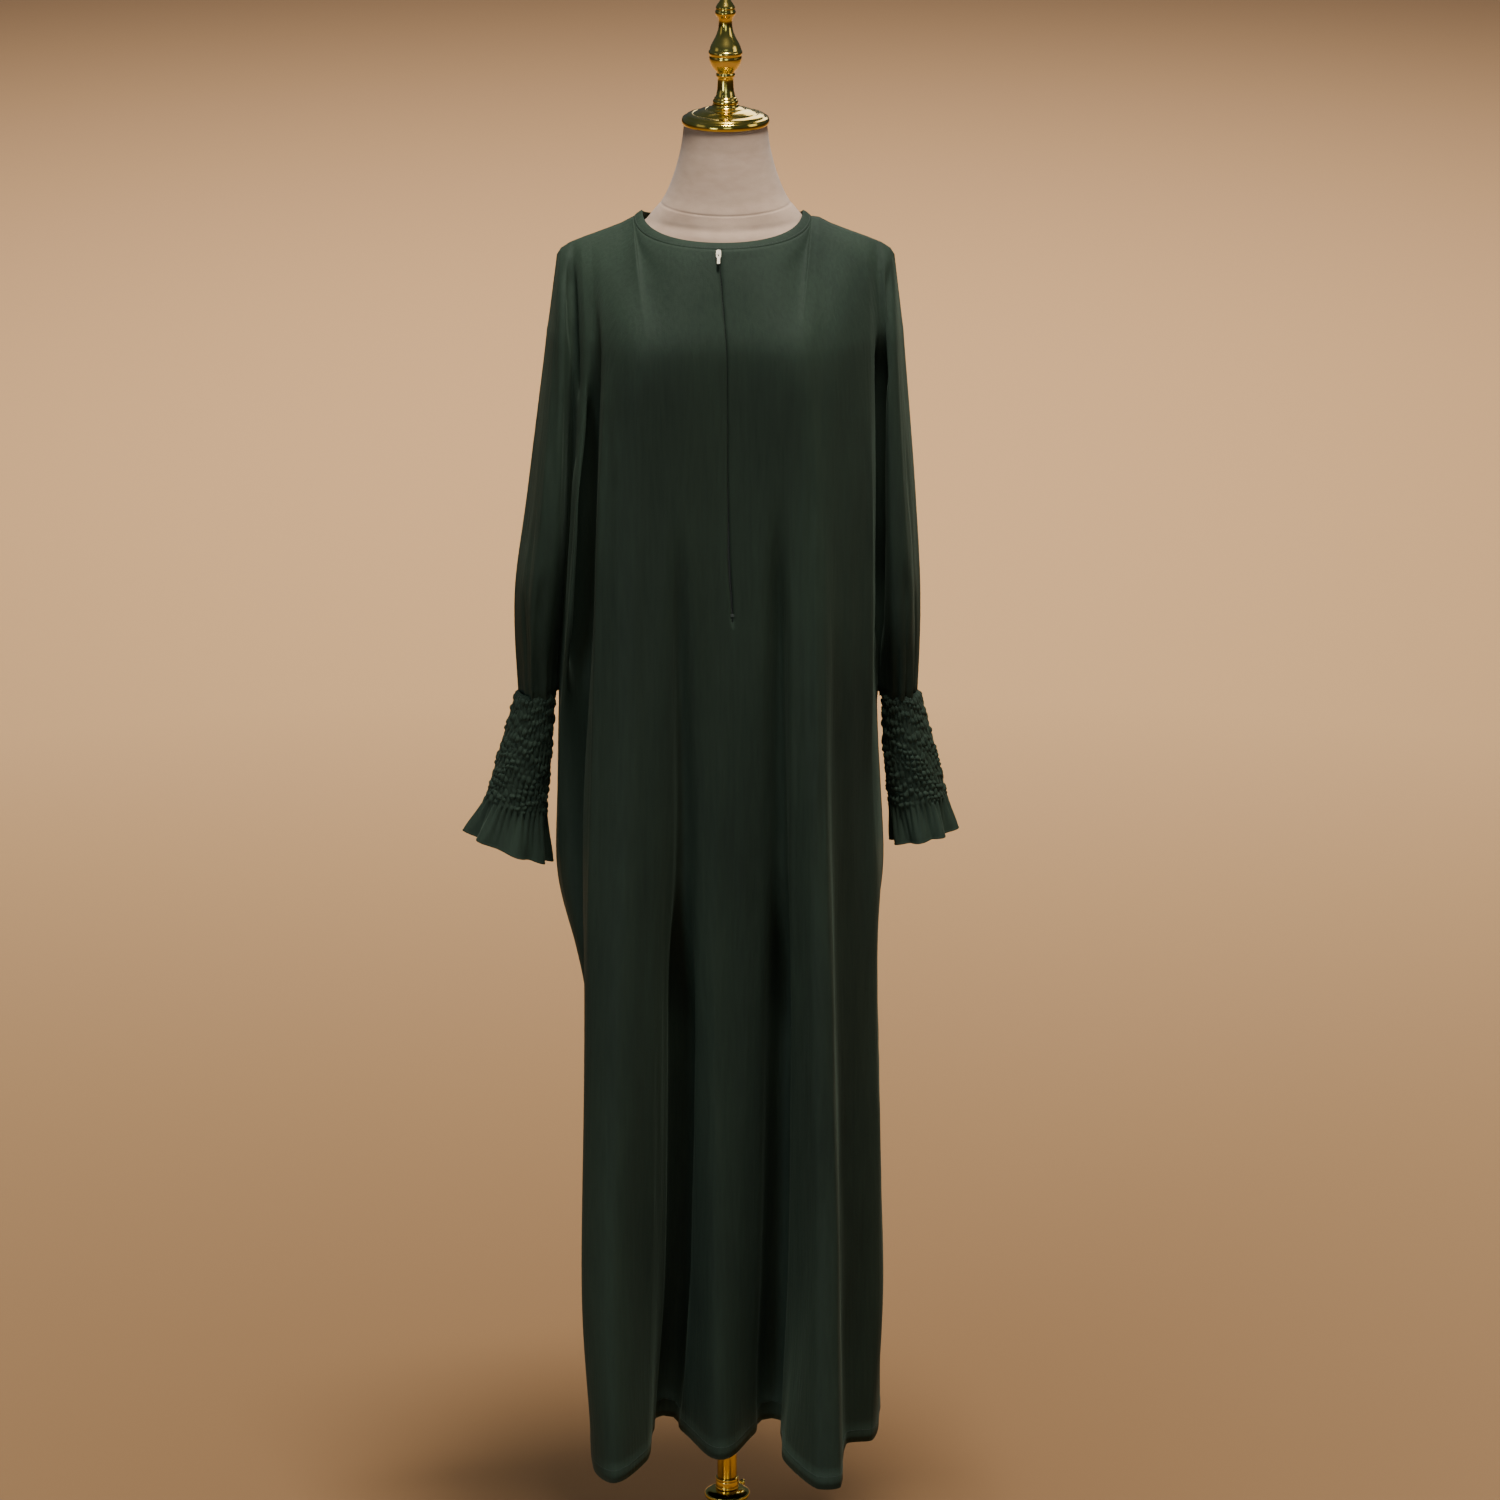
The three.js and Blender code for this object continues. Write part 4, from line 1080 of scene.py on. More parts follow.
@dataclass(frozen=True)
class Crinkles:
    """Many fine upright crinkles of crepe, scattered between two folds and two heights."""

    folds: tuple[float, float]
    heights: tuple[float, float]
    count: int
    depth: float
    width: tuple[float, float] = (1.8, 4.0)
    length: tuple[float, float] = (50.0, 260.0)
    drift: float = 0.1
    least: float = 0.35
    ways: Triple = (-1.0, 1.0, 1.0)

    def creases(self, draw: random.Random) -> list[Crease]:
        """Draws the crinkles.

        Args:
            draw: Where the random numbers come from.

        Returns:
            One crease for each crinkle.
        """
        made = []
        bottom, top = self.heights
        for _ in range(self.count):
            fold = draw.uniform(*self.folds)
            length = draw.uniform(*self.length)
            low = draw.uniform(bottom, max(bottom + 1.0, top - length))
            drift = draw.uniform(-self.drift, self.drift)
            depth = self.depth * draw.uniform(self.least, 1.0) * draw.choice(self.ways)
            path = ((fold, low), (fold + drift, low + length / 2), (fold + drift / 3, low + length))
            made.append(Crease(path, depth, draw.uniform(*self.width)))
        return made


class Side(Enum):
    """Which way a panel faces."""

    FRONT = -1
    BACK = 1


@dataclass
class Panel:
    """A whole front or back, cut in one with its two sleeve halves.

    The grid has the chest's rows first, then the sleeves' and the skirt's, and a column for each
    step between two fold lines from left to right.
    """

    name: str
    side: Side
    folds: Sequence[Fold]
    steps: Sequence[int]
    creases: Sequence[Crease]
    crinkles: Sequence[Crinkles]
    flat: tuple[float, float]
    flat_area: float
    slit: Slit | None = None
    ledge: Ledge | None = None
    chest_ease: ChestEase = ChestEase()
    sways: tuple[Sway, ...] = (Sway(0.9, 31.0, 240.0, 0.0, 171.0, 1.0), Sway(0.5, 14.0, -130.0, 2.0))
    seed: int = 7
    finer: int = 5
    chest_rows: int = 26
    sleeve_rows: int = 44
    skirt_rows: int = 78
    soft_passes: int = 10
    hem: float = 15.0
    hem_step: float = 0.45
    blouse: float = 4.5
    blouse_rows: tuple[float, ...] = (0.1, 0.3, 0.65, 1.0)
    blouse_fade: float = 4.0
    seam_fade: float = 6.0
    top_fade: float = 4.0
    level_band: int = 8
    gather_reach: float = 95.0
    gather_depth: float = 2.1
    gather_waves: tuple[Triple, ...] = ((0.62, 3.1, 0.0), (0.38, 5.3, 1.1))
    grid: np.ndarray = field(default=None, repr=False)
    normals: np.ndarray = field(default=None, repr=False)

    @property
    def slit_step(self) -> int:
        """Step that the slit takes out, or -1."""
        return self.slit.step if self.slit else -1

    @property
    def seam(self) -> int:
        """Fold number of the left side seam, which is also how many folds each sleeve has."""
        return [fold.name for fold in self.folds].index("seam")

    @property
    def seam_column(self) -> int:
        """Column of the left side seam; the right one lies as far from the other end."""
        return self.column_of(self.seam)

    @property
    def cuff_row(self) -> int:
        """Row on which the cuffs start."""
        return self.chest_rows + self.sleeve_rows

    @property
    def slit_row(self) -> int:
        """Row on which the slit ends."""
        share = (BUST - self.slit.foot) / (BUST - CUFF_TOP)
        return self.chest_rows + round(share * self.sleeve_rows)

    def columns(self) -> list[tuple[int, float]]:
        """Works out where the columns lie; the slit's own step isn't divided.

        Returns:
            Fold number and fraction of each column.
        """
        made = []
        for fold, count in enumerate(self.steps):
            fine = 1 if fold == self.slit_step else count * self.finer
            made.extend((fold, k / fine) for k in range(fine))
        return [*made, (len(self.folds) - 1, 0.0)]

    def column_of(self, fold: int) -> int:
        """Column on which a fold line lies."""
        return self.columns().index((fold, 0.0))

    def top_edge(self) -> np.ndarray:
        """Lays the top edge along the shoulder seams and round the neck.

        Returns:
            One point for each column.
        """
        away = NECK.binding + SEAM_GAP
        points = []
        for fold, t in self.columns():
            here = self.folds[fold]
            after = self.folds[min(fold + 1, len(self.folds) - 1)]
            if here.round_neck and (t == 0 or after.round_neck):
                points.append(NECK.at(np.array(mix(here.start, after.start, t)), away))
                continue
            ends = [NECK.at(np.array(f.start), away)[0] if f.round_neck else f.start for f in (here, after)]
            x = mix(ends[0], ends[1], t)
            points.append(np.array([x, 0.0, float(shoulder_height(x))]))
        return np.array(points)

    def level_lines(self, heights: np.ndarray, with_sleeves: bool, fall: np.ndarray) -> np.ndarray:
        """Smooth lines across the fold lines.

        Args:
            heights: One height for each line.
            with_sleeves: Whether the sleeves hang here too.
            fall: How much of each fold's hem rise each line has.

        Returns:
            Points as [row, step], not a number where no cloth is.
        """
        places: list[np.ndarray | None] = []
        for fold in self.folds:
            if not with_sleeves and fold.name in SLEEVE_FOLDS:
                places.append(None)
                continue
            rise = HEM_RISE.get(fold.name, 0.0) * fall
            places.append(np.stack([fold.x(heights), fold.y(heights), heights + rise], -1))

        def beside(fold: int, way: int) -> np.ndarray:
            """Finds the next fold's places, past the slit's other edge.

            Args:
                fold: Number of the fold to start from.
                way: -1 for the fold before, 1 for the one after.

            Returns:
                Points of that fold, or the first fold's own where there is none.
            """
            other = fold + way
            if 0 <= other < len(self.folds) and self.folds[other].name == self.folds[fold].name:
                other += way
            known = 0 <= other < len(self.folds) and places[other] is not None
            return places[other] if known else places[fold]

        lines = []
        for fold, t in self.columns():
            a = places[fold]
            b = places[fold + 1] if fold + 1 < len(self.folds) else None
            if a is None or (b is None and t > 0):
                lines.append(np.full((len(heights), 3), np.nan))
            elif t == 0:
                lines.append(a)
            else:
                lines.append(self.between(beside(fold, -1), a, b, beside(fold + 1, 1), t))
        return np.stack(lines, 1)

    @staticmethod
    def between(
        before: np.ndarray, a: np.ndarray, b: np.ndarray, after: np.ndarray, t: float
    ) -> np.ndarray:
        """Follows a cubic from a to b whose ends lean towards their neighbours.

        Args:
            before: Points of the fold before a.
            a: Points of the first fold.
            b: Points of the second fold.
            after: Points of the fold after b.
            t: Share of the way from a to b.

        Returns:
            One point for each row.
        """
        step = np.linalg.norm(b - a, axis=-1, keepdims=True)

        def lean(start: np.ndarray, end: np.ndarray) -> np.ndarray:
            """How the line leans where it passes between two folds."""
            return (end - start) * step * FOLD_LEAN / np.maximum(
                np.linalg.norm(end - start, axis=-1, keepdims=True), TINY
            )

        return (
            a * (2 * t**3 - 3 * t**2 + 1)
            + lean(before, b) * (t**3 - 2 * t**2 + t)
            + b * (-2 * t**3 + 3 * t**2)
            + lean(a, after) * (t**3 - t**2)
        )

    def chest(self) -> np.ndarray:
        """Lays the cloth over the shoulder; each step follows part of an ellipse down to the bust.

        Returns:
            Points as [row, step].
        """
        top = self.top_edge()
        bust = self.level_lines(np.array([BUST]), True, np.zeros(1))[0]
        round_neck = np.clip(np.abs(top[:, 1]) / NECK.front, 0, 1)
        reach = SHOULDER.column("out")[-1]
        outward = np.clip((np.abs(top[:, 0]) - NECK.half_width) / (reach - NECK.half_width), 0, 1)
        near = mix(CHEST_START["neck"], CHEST_START["middle"], round_neck)
        start = np.radians(mix(near, CHEST_START["tip"], outward))[None, :]
        share = np.linspace(0, 1, self.chest_rows + 1)[:, None]
        turn = mix(start, math.pi / 2, share)
        out = (np.sin(turn) - np.sin(start)) / (1 - np.sin(start))
        fall = (np.cos(start) - np.cos(turn)) / np.cos(start)
        forward = mix(out, fall, CHEST_STRAIGHT)
        return np.stack([mix(top[:, k], bust[:, k], by) for k, by in enumerate((fall, forward, fall))], -1)

    def base_grid(self) -> np.ndarray:
        """Lays the drape's main form.

        Returns:
            Points as [row, step].
        """
        sleeve = np.linspace(BUST, CUFF_TOP, self.sleeve_rows + 1)[1:]
        length = CUFF_TOP - HEM
        upper = np.linspace(0, 1 - (self.hem + 1) / length, self.skirt_rows - HEM_ROWS + 1)[1:]
        share = np.concatenate([upper, 1 - np.array([self.hem, self.hem / 2, 0]) / length])
        skirt = mix(CUFF_TOP, HEM, share)
        bands = [
            self.chest(),
            self.level_lines(sleeve, True, np.zeros(len(sleeve))),
            self.level_lines(skirt, False, eased(share)),
        ]
        return np.concatenate(bands)

    def soften(self, grid: np.ndarray) -> None:
        """Rounds off the grid's corners up and down; the top edge and the hem stay.

        Args:
            grid: Points as [row, step].
        """
        for _ in range(self.soft_passes):
            middle = (grid[:-2, :, :2] + 2 * grid[1:-1, :, :2] + grid[2:, :, :2]) / 4
            grid[1:-1, :, :2] = np.where(np.isnan(middle), grid[1:-1, :, :2], middle)

    def cells(self) -> np.ndarray:
        """Says which cells are cloth: the sleeves end at the cuffs, and the zip's slit is open.

        Returns:
            Whether each cell is cloth, as [row, step].
        """
        wide = len(self.columns())
        made = np.ones((self.cuff_row + self.skirt_rows, wide - 1), bool)
        made[self.cuff_row :, : self.seam_column] = False
        made[self.cuff_row :, wide - 1 - self.seam_column :] = False
        if self.slit:
            made[: self.slit_row, self.column_of(self.slit_step)] = False
        return made

    def hold_seams(self, grid: np.ndarray) -> None:
        """Puts the overarm, shoulder and side seams in their plane, half a gap from it.

        Args:
            grid: Points as [row, step].
        """
        at = self.side.value * SEAM_GAP / 2
        neck = [self.column_of(k) for k, fold in enumerate(self.folds) if fold.name == "neck"]
        last = grid.shape[1] - 1
        for column in (0, last):
            grid[: self.cuff_row + 1, column, 1] = at
        for column in (self.seam_column, last - self.seam_column):
            grid[self.cuff_row + 1 :, column, 1] = at
        grid[0, : neck[0] + 1, 1] = at
        grid[0, neck[-1] :, 1] = at

    def drop_sleeves(self, grid: np.ndarray) -> None:
        """Lets the ends of the sleeves blouse a little over the cuffs.

        Args:
            grid: Points as [row, step].
        """
        edge = steps_from_ends(grid.shape[1])
        inside = eased((self.seam_column - edge) / self.blouse_fade) * (edge < self.seam_column)
        rows = slice(self.cuff_row + 1 - len(self.blouse_rows), self.cuff_row + 1)
        grid[rows, :, 2] -= self.blouse * np.array(self.blouse_rows)[:, None] * inside[None, :]

    def relief(self, grid: np.ndarray) -> np.ndarray:
        """Adds up creases, crinkles, gathers and the slow unevenness of hanging cloth.

        Args:
            grid: Points as [row, step].

        Returns:
            Millimetres outwards, as [row, step].
        """
        across = np.array([fold + t for fold, t in self.columns()])
        middle = len(across) // 2
        arc = arc_length(grid)
        arc = arc - arc[:, [middle]]
        level = np.nanmean(grid[:, middle - self.level_band : middle + self.level_band, 2], 1)
        draw = random.Random(self.seed)
        laid = list(self.creases)
        for scatter in self.crinkles:
            laid.extend(scatter.creases(draw))
        height = sum(crease.height(across, arc, level) for crease in laid)
        for sway in self.sways:
            height = height + sway.height(arc, level[:, None])
        height = height + self.gathers(across, grid)
        if self.ledge:
            height = height + self.ledge.height(across, level)
        row = np.arange(len(grid))[:, None]
        edge = steps_from_ends(len(across))[None, :]
        from_seam = np.where(row > self.cuff_row, edge - self.seam_column, edge)
        height = height * eased(from_seam / self.seam_fade) * eased(row / self.top_fade)
        height[-HEM_ROWS:] += self.hem_step
        return height

    def gathers(self, across: np.ndarray, grid: np.ndarray) -> np.ndarray:
        """Lays small pleats where the sleeves run into the cuffs.

        Args:
            across: Fold number and fraction of each column.
            grid: Points as [row, step].

        Returns:
            Millimetres outwards, as [row, step].
        """
        out = np.minimum(across, len(self.folds) - 1 - across)
        near = np.nan_to_num(eased(1 - (grid[..., 2] - CUFF_TOP) / self.gather_reach))
        waves = self.gather_waves
        wave = sum(share * np.cos(math.pi * out * count + start) for share, count, start in waves)
        return np.where((out < self.seam)[None, :], near * wave * self.gather_depth, 0.0)

    def slit_groove(self, grid: np.ndarray) -> np.ndarray:
        """Turns the cloth in at the zip's slit.

        Args:
            grid: Points as [row, step].

        Returns:
            Millimetres outwards, as [row, step].
        """
        if not self.slit:
            return np.zeros(grid.shape[:2])
        column = self.column_of(self.slit_step)
        arc = arc_length(grid)
        middle = (arc[:, column] + arc[:, column + 1]) / 2
        return self.slit.groove(arc - middle[:, None], np.arange(len(grid)), self.slit_row)

    def build(self, finish: Material) -> Piece:
        """Makes the panel as a thin closed wall of cloth.

        Args:
            finish: Its material.

        Returns:
            The panel.
        """
        grid = self.base_grid()
        self.soften(grid)
        self.chest_ease.apply(grid, self.chest_rows)
        self.hold_seams(grid)
        cells = self.cells()
        flip = self.side is Side.BACK
        height = self.relief(grid) + self.slit_groove(grid)
        grid = grid + grid_normals(grid, cells, False, flip) * height[..., None]
        self.hold_seams(grid)
        self.drop_sleeves(grid)
        self.grid = grid
        self.normals = grid_normals(grid, cells, False, flip)
        thick = np.full(grid.shape[:2], CLOTH)
        thick[-HEM_ROWS:] += self.hem_step
        parts = MeshParts()
        add_wall(parts, grid, self.normals, thick, cells, flip=flip)
        made = worn(parts.build(self.name + "_cloth", finish), "crepe", self.name)
        return made

    def hem_stitches(self, finish: Material) -> Piece:
        """Makes the stitching that holds the turned hem.

        Args:
            finish: The thread's material.

        Returns:
            The stitches.
        """
        columns = slice(self.seam_column + 1, self.grid.shape[1] - self.seam_column - 1)
        parts = MeshParts()
        Stitching().add_run(parts, self.grid[-HEM_ROWS, columns], self.normals[-HEM_ROWS, columns])
        return worn(parts.build(self.name + "_hem_stitches", finish), "crepe")


def front_panel() -> Panel:
    """The front, with the slit for the zip.

    Returns:
        The panel, not yet built.
    """
    slit = Slit(len(FRONT_LEFT_STARTS))
    folds = [
        *(table_fold(*item, FRONT_LEFT_X, FRONT_LEFT_Y) for item in FRONT_LEFT_STARTS.items()),
        slit.edge(-1),
        slit.edge(1),
        *(table_fold(*item, FRONT_RIGHT_X, FRONT_RIGHT_Y) for item in FRONT_RIGHT_STARTS.items()),
    ]
    creases = [
        Crease(((4.9, 1580), (4.9, 1100), (5.0, 560)), -28.0, 12.0),
        Crease(((2.2, 1590), (2.9, 1520), (3.6, 1430)), -7.0, 7.0),
        Crease(((4.05, 1420), (4.0, 1150), (4.0, 820)), 3.0, 3.5),
        Crease(((6.1, 1500), (6.0, 1200), (6.0, 760)), 3.5, 5.0),
        Crease(((19.8, 1590), (19.0, 1520), (18.3, 1430)), -6.0, 7.0),
        Crease(((18.0, 1520), (18.0, 1350), (18.0, 1120)), -16.0, 8.0),
        Crease(((17.0, 1440), (17.0, 1250), (17.0, 980)), 2.5, 4.5),
        Crease(((8.9, 1330), (9.0, 1000), (9.0, 620)), -11.0, 9.0),
        Crease(((9.0, 885), (9.1, 700), (9.0, 60)), -32.0, 10.0),
        Crease(((7.9, 1260), (7.9, 900), (8.0, 300)), 2.0, 7.0),
        Crease(((12.1, 1350), (12.0, 1020), (12.0, 620)), -18.0, 9.0),
        Crease(((12.75, 1300), (12.7, 1020), (12.6, 640)), 2.5, 6.0),
        Crease(((12.0, 905), (12.0, 700), (12.0, 60)), -33.0, 11.0),
        Crease(((1.5, 1240), (1.4, 1120), (1.3, 1000)), -5.0, 5.0),
        Crease(((0.6, 1220), (0.7, 1110), (0.8, 1000)), -4.0, 4.5),
        Crease(((19.7, 1260), (19.9, 1140), (20.2, 1010)), -4.5, 5.0),
        Crease(((20.5, 1230), (20.6, 1120), (20.4, 1010)), -3.5, 4.0),
        Crease(((1.5, 1590), (1.7, 1450), (1.8, 1320)), 2.2, 5.0),
        Crease(((2.1, 1560), (2.2, 1400), (2.1, 1260)), -1.8, 4.0),
        Crease(((6.6, 1480), (6.7, 1300), (6.8, 1050)), 1.4, 6.0),
        Crease(((7.4, 1380), (7.5, 1000), (7.4, 500)), 1.2, 9.0),
        Crease(((8.3, 1300), (8.2, 900), (8.4, 420)), 1.6, 8.0),
        Crease(((8.8, 1200), (8.9, 800), (8.8, 240)), -1.5, 7.0),
        Crease(((9.5, 1100), (9.5, 700), (9.6, 210)), 1.3, 8.0),
        Crease(((11.4, 1150), (11.5, 700), (11.3, 230)), 1.3, 8.0),
        Crease(((12.2, 1180), (12.3, 820), (12.4, 260)), -1.4, 7.0),
        Crease(((12.6, 1430), (12.8, 1250), (12.7, 900)), 1.3, 7.0),
        Crease(((13.3, 1440), (13.4, 1250), (13.2, 880)), 1.5, 6.0),
        Crease(((13.7, 1420), (13.8, 1240), (13.7, 980)), -1.4, 4.5),
        Crease(((14.3, 1450), (14.2, 1280), (14.3, 1040)), 1.2, 5.0),
        Crease(((16.4, 1450), (16.4, 1200), (16.5, 800)), 1.4, 5.5),
        Crease(((16.7, 1300), (16.7, 1000), (16.6, 600)), -1.3, 5.0),
        Crease(((19.6, 1560), (19.7, 1350), (19.8, 1140)), 1.6, 5.0),
        Crease(((20.3, 1400), (20.4, 1260), (20.3, 1120)), -1.4, 5.0),
        Crease(((0.7, 1300), (0.8, 1200), (0.9, 1100)), -1.7, 6.0),
        Crease(((1.3, 1260), (1.4, 1170), (1.3, 1085)), 1.8, 6.0),
    ]
    crinkles = [
        Crinkles((12.8, 15.0), (420, 1480), 90, 0.6),
        Crinkles((16.0, 17.6), (420, 1480), 70, 0.75),
        Crinkles((6.0, 12.5), (220, 1440), 90, 0.35),
        Crinkles((15.8, 17.8), (200, 560), 18, 0.5),
        Crinkles((0.5, 3.0), (1085, 1500), 20, 0.5),
        Crinkles((18.2, 20.6), (1085, 1500), 20, 0.5),
    ]
    steps = [3, 3, 2, 2, 2, 2, 2, 2, 4, 3, 1, 3, 4, 2, 2, 1, 2, 2, 2, 3, 3]
    return Panel(
        "front_panel", Side.FRONT, folds, steps, creases, crinkles, (1.03, 1.51), 1.14, slit, Ledge()
    )


def back_panel() -> Panel:
    """The back, whose two halves are alike but for the sleeves.

    Returns:
        The panel, not yet built.
    """

    def half(sign: int, sleeve: Table) -> list[Fold]:
        """Lists the fold lines of one half.

        Args:
            sign: -1 for the left half, 1 for the right.
            sleeve: Places across of that side's sleeve.

        Returns:
            Fold lines from the sleeve to the middle.
        """
        sleeves = [table_fold(name, sign * out, sleeve, BACK_Y) for name, out in BACK_SLEEVE_STARTS.items()]
        shoulder = [table_fold(name, sign * out, BACK_X, BACK_Y, sign) for name, out in BACK_STARTS.items()]
        neck = [
            table_fold(name, BACK_MIDDLE - sign * turn, BACK_X, BACK_Y, sign)
            for name, turn in BACK_NECK_STARTS.items()
        ]
        return [*sleeves, *shoulder, *neck]

    middle = Fold("middle", np.zeros_like, lambda z: BACK_Y.at("middle", z), BACK_MIDDLE)
    folds = [*half(-1, FRONT_LEFT_X), middle, *half(1, FRONT_RIGHT_X)[::-1]]
    creases = [
        Crease(((5.4, 1480), (5.5, 1100), (5.4, 500)), 1.5, 8.0),
        Crease(((6.5, 1420), (6.4, 1000), (6.5, 300)), -1.5, 7.0),
        Crease(((7.4, 1450), (7.5, 1150), (7.4, 820)), 1.4, 8.0),
        Crease(((8.3, 1200), (8.4, 800), (8.3, 240)), 1.2, 7.0),
        Crease(((9.6, 1430), (9.5, 1000), (9.6, 400)), -1.4, 7.0),
        Crease(((10.6, 1480), (10.5, 1100), (10.6, 600)), 1.6, 7.0),
        Crease(((4.5, 1450), (4.6, 1150), (4.5, 900)), 1.3, 6.0),
        Crease(((11.6, 1450), (11.5, 1150), (11.6, 850)), -1.3, 6.0),
        Crease(((1.4, 1500), (1.5, 1300), (1.4, 1110)), 1.6, 6.0),
        Crease(((14.6, 1500), (14.5, 1300), (14.6, 1110)), 1.6, 6.0),
    ]
    crinkles = [
        Crinkles((4.2, 12.0), (220, 1500), 170, 0.5),
        Crinkles((0.5, 3.0), (1085, 1500), 20, 0.5),
        Crinkles((13.2, 15.6), (1085, 1500), 20, 0.5),
    ]
    steps = [3, 3, 2, 2, 2, 2, 4, 2, 2, 4, 2, 2, 2, 2, 3, 3]
    return Panel("back_panel", Side.BACK, folds, steps, creases, crinkles, (0.72, 1.49), 0.87, seed=23)


# ---------------------------------------------------------------- cuffs
CUFF_LEFT = Table(
    "place   x    y     z   wide deep lean",
    (0, -216, 0, 1079.5, 21, 30, 0),
    (1, -228, -3, 1010, 28, 27, 8),
    (2, -240, -4, 945, 35, 25, 16),
    (3, -250, -5, 896, 50, 33, 22),
)
CUFF_RIGHT = Table(
    "place   x    y     z   wide deep lean",
    (0, 198, 0, 1079.5, 20, 30, 0),
    (1, 208, -3, 1012, 28, 27, 5),
    (2, 218, -4, 952, 32, 25, 10),
    (3, 226, -5, 910, 35, 33, 13),
)


@dataclass
class Cuff:
    """A long elastic-shirred cuff whose free end makes a ruffle.

    Places along it are 0 at the top, 1 in the middle of the shirring, 2 at its foot and 3 at the end
    of the ruffle.
    """

    name: str
    rings: Table
    sign: int
    seed: int
    flat: tuple[float, float]
    flat_area: float
    threads: int = 19
    thread_radius: float = 0.3
    thread_lift: float = 0.35
    around: int = 320
    rows_between: int = 6
    ruffle_rows: int = 24
    puffs: int = 32
    uneven_puffs: tuple[int, ...] = (-3, -2, 0, 1, 3)
    puff_height: float = 2.8
    puff_rise: float = 1.25
    puff_dip: float = 0.25
    puff_round: float = 0.75
    row_round: float = 0.6
    pleat: float = 0.2
    inset: float = 2.2
    inset_rows: float = 1.2
    waves: int = 8
    wave: float = 4.8
    pleat_foot: float = 1.5
    roll: float = 0.9
    wall: float = 0.7
    edge_wall: float = 1.26

    def ring(self, place: np.ndarray) -> dict[str, np.ndarray]:
        """Runs a smooth curve through the rings.

        Args:
            place: Places along the cuff.

        Returns:
            Centre, half sizes and lean at those places, by name.
        """
        last = len(self.rings.rows) - 1
        k = np.clip(np.floor(place).astype(int), 0, last - 1)
        t = place - k
        values = {}
        for name in self.rings.names[1:]:
            column = self.rings.column(name)
            a, b, c, d = (column[np.clip(k + off, 0, last)] for off in (-1, 0, 1, 2))
            bend = t * (2 * a - 5 * b + 4 * c - d + t * (3 * (b - c) + d - a))
            values[name] = b + 0.5 * t * (c - a + bend)
        return values

    def surface(self, place: np.ndarray, turn: np.ndarray, raised: np.ndarray) -> np.ndarray:
        """Finds points of the cuff.

        Args:
            place: Place of each row along the cuff.
            turn: Angle of each step round it.
            raised: Millimetres outwards.

        Returns:
            Points as [row, step].
        """
        ring = {name: value[:, None] for name, value in self.ring(place).items()}
        lean = np.radians(ring["lean"])
        out = (ring["wide"] + raised) * np.cos(turn)[None, :]
        fore = (ring["deep"] + raised) * np.sin(turn)[None, :]
        x = ring["x"] + self.sign * out * np.cos(lean)
        return np.stack([x, ring["y"] - fore, ring["z"] + out * np.sin(lean)], -1)

    def wander(self, turn: np.ndarray, band: np.ndarray) -> np.ndarray:
        """How far the sewn rows wander up and down, in parts of the distance between them."""
        slow = 0.28 * np.sin(3 * turn + self.seed + 0.5 * band)
        return slow + 0.16 * np.sin(8 * turn + 2.1 * band) + 0.1 * np.sin(13 * turn + 1.3 * band + self.seed)

    def shirring(self, turn: np.ndarray) -> tuple[np.ndarray, np.ndarray]:
        """Puffs the cloth up between the elastic threads, each row on its own.

        Args:
            turn: Angle of each step round the cuff.

        Returns:
            Place of each row, and millimetres outwards as [row, step].
        """
        draw = random.Random(self.seed)
        bands = self.threads - 1
        across = np.linspace(0, bands, bands * self.rows_between + 1)[:, None]
        rows = range(self.threads + 2)
        starts = np.array([draw.uniform(0, 2 * math.pi) for _ in rows])
        counts = np.array([self.puffs + draw.choice(self.uneven_puffs) for _ in rows])
        line = across + self.wander(turn[None, :], across)
        band = np.clip(np.floor(line).astype(int), -1, bands) + 1
        start, count = starts[band], counts[band]
        shift = 0.5 * np.sin(3 * turn + start) + 0.3 * np.sin(7 * turn + 2 * start)
        puff = np.abs(np.sin(count / 2 * turn + start + shift)) ** self.puff_round
        size = 0.7 + 0.3 * np.sin(5 * turn + 3 * start)
        swell = np.abs(np.sin(math.pi * line)) ** self.row_round
        pleat = self.pleat * np.sin(self.puffs * turn + 0.6 * np.sin(4 * turn))[None, :]
        raised = self.puff_rise * puff * size - self.puff_dip
        height = self.puff_height * (swell * raised + (1 - swell) * pleat)
        out = eased(across / self.inset_rows)
        return across[:, 0] / bands * 2, height * out - self.inset * (1 - out)

    def ruffle(self, turn: np.ndarray) -> tuple[np.ndarray, np.ndarray]:
        """Lays the ruffle's waves, with the small pleats of the shirring running out at its top.

        Args:
            turn: Angle of each step round the cuff.

        Returns:
            Place of each row, and millimetres outwards as [row, step].
        """
        t = np.linspace(0, 1, self.ruffle_rows + 1)[1:]
        uneven = 1 + 0.3 * np.sin(2 * turn + 1) + 0.15 * np.sin(5 * turn + self.seed)
        wave = uneven * np.sin(self.waves * turn + 0.5 * np.sin(3 * turn + self.seed))
        pleats = np.sin(self.puffs * turn + 0.5 * np.sin(5 * turn))
        swell = np.sin(t * math.pi / 2)[:, None]
        height = self.wave * swell * wave[None] + self.pleat_foot * ((1 - t) ** 1.4)[:, None] * pleats[None]
        return 2 + t, height - self.roll * (t**6)[:, None]

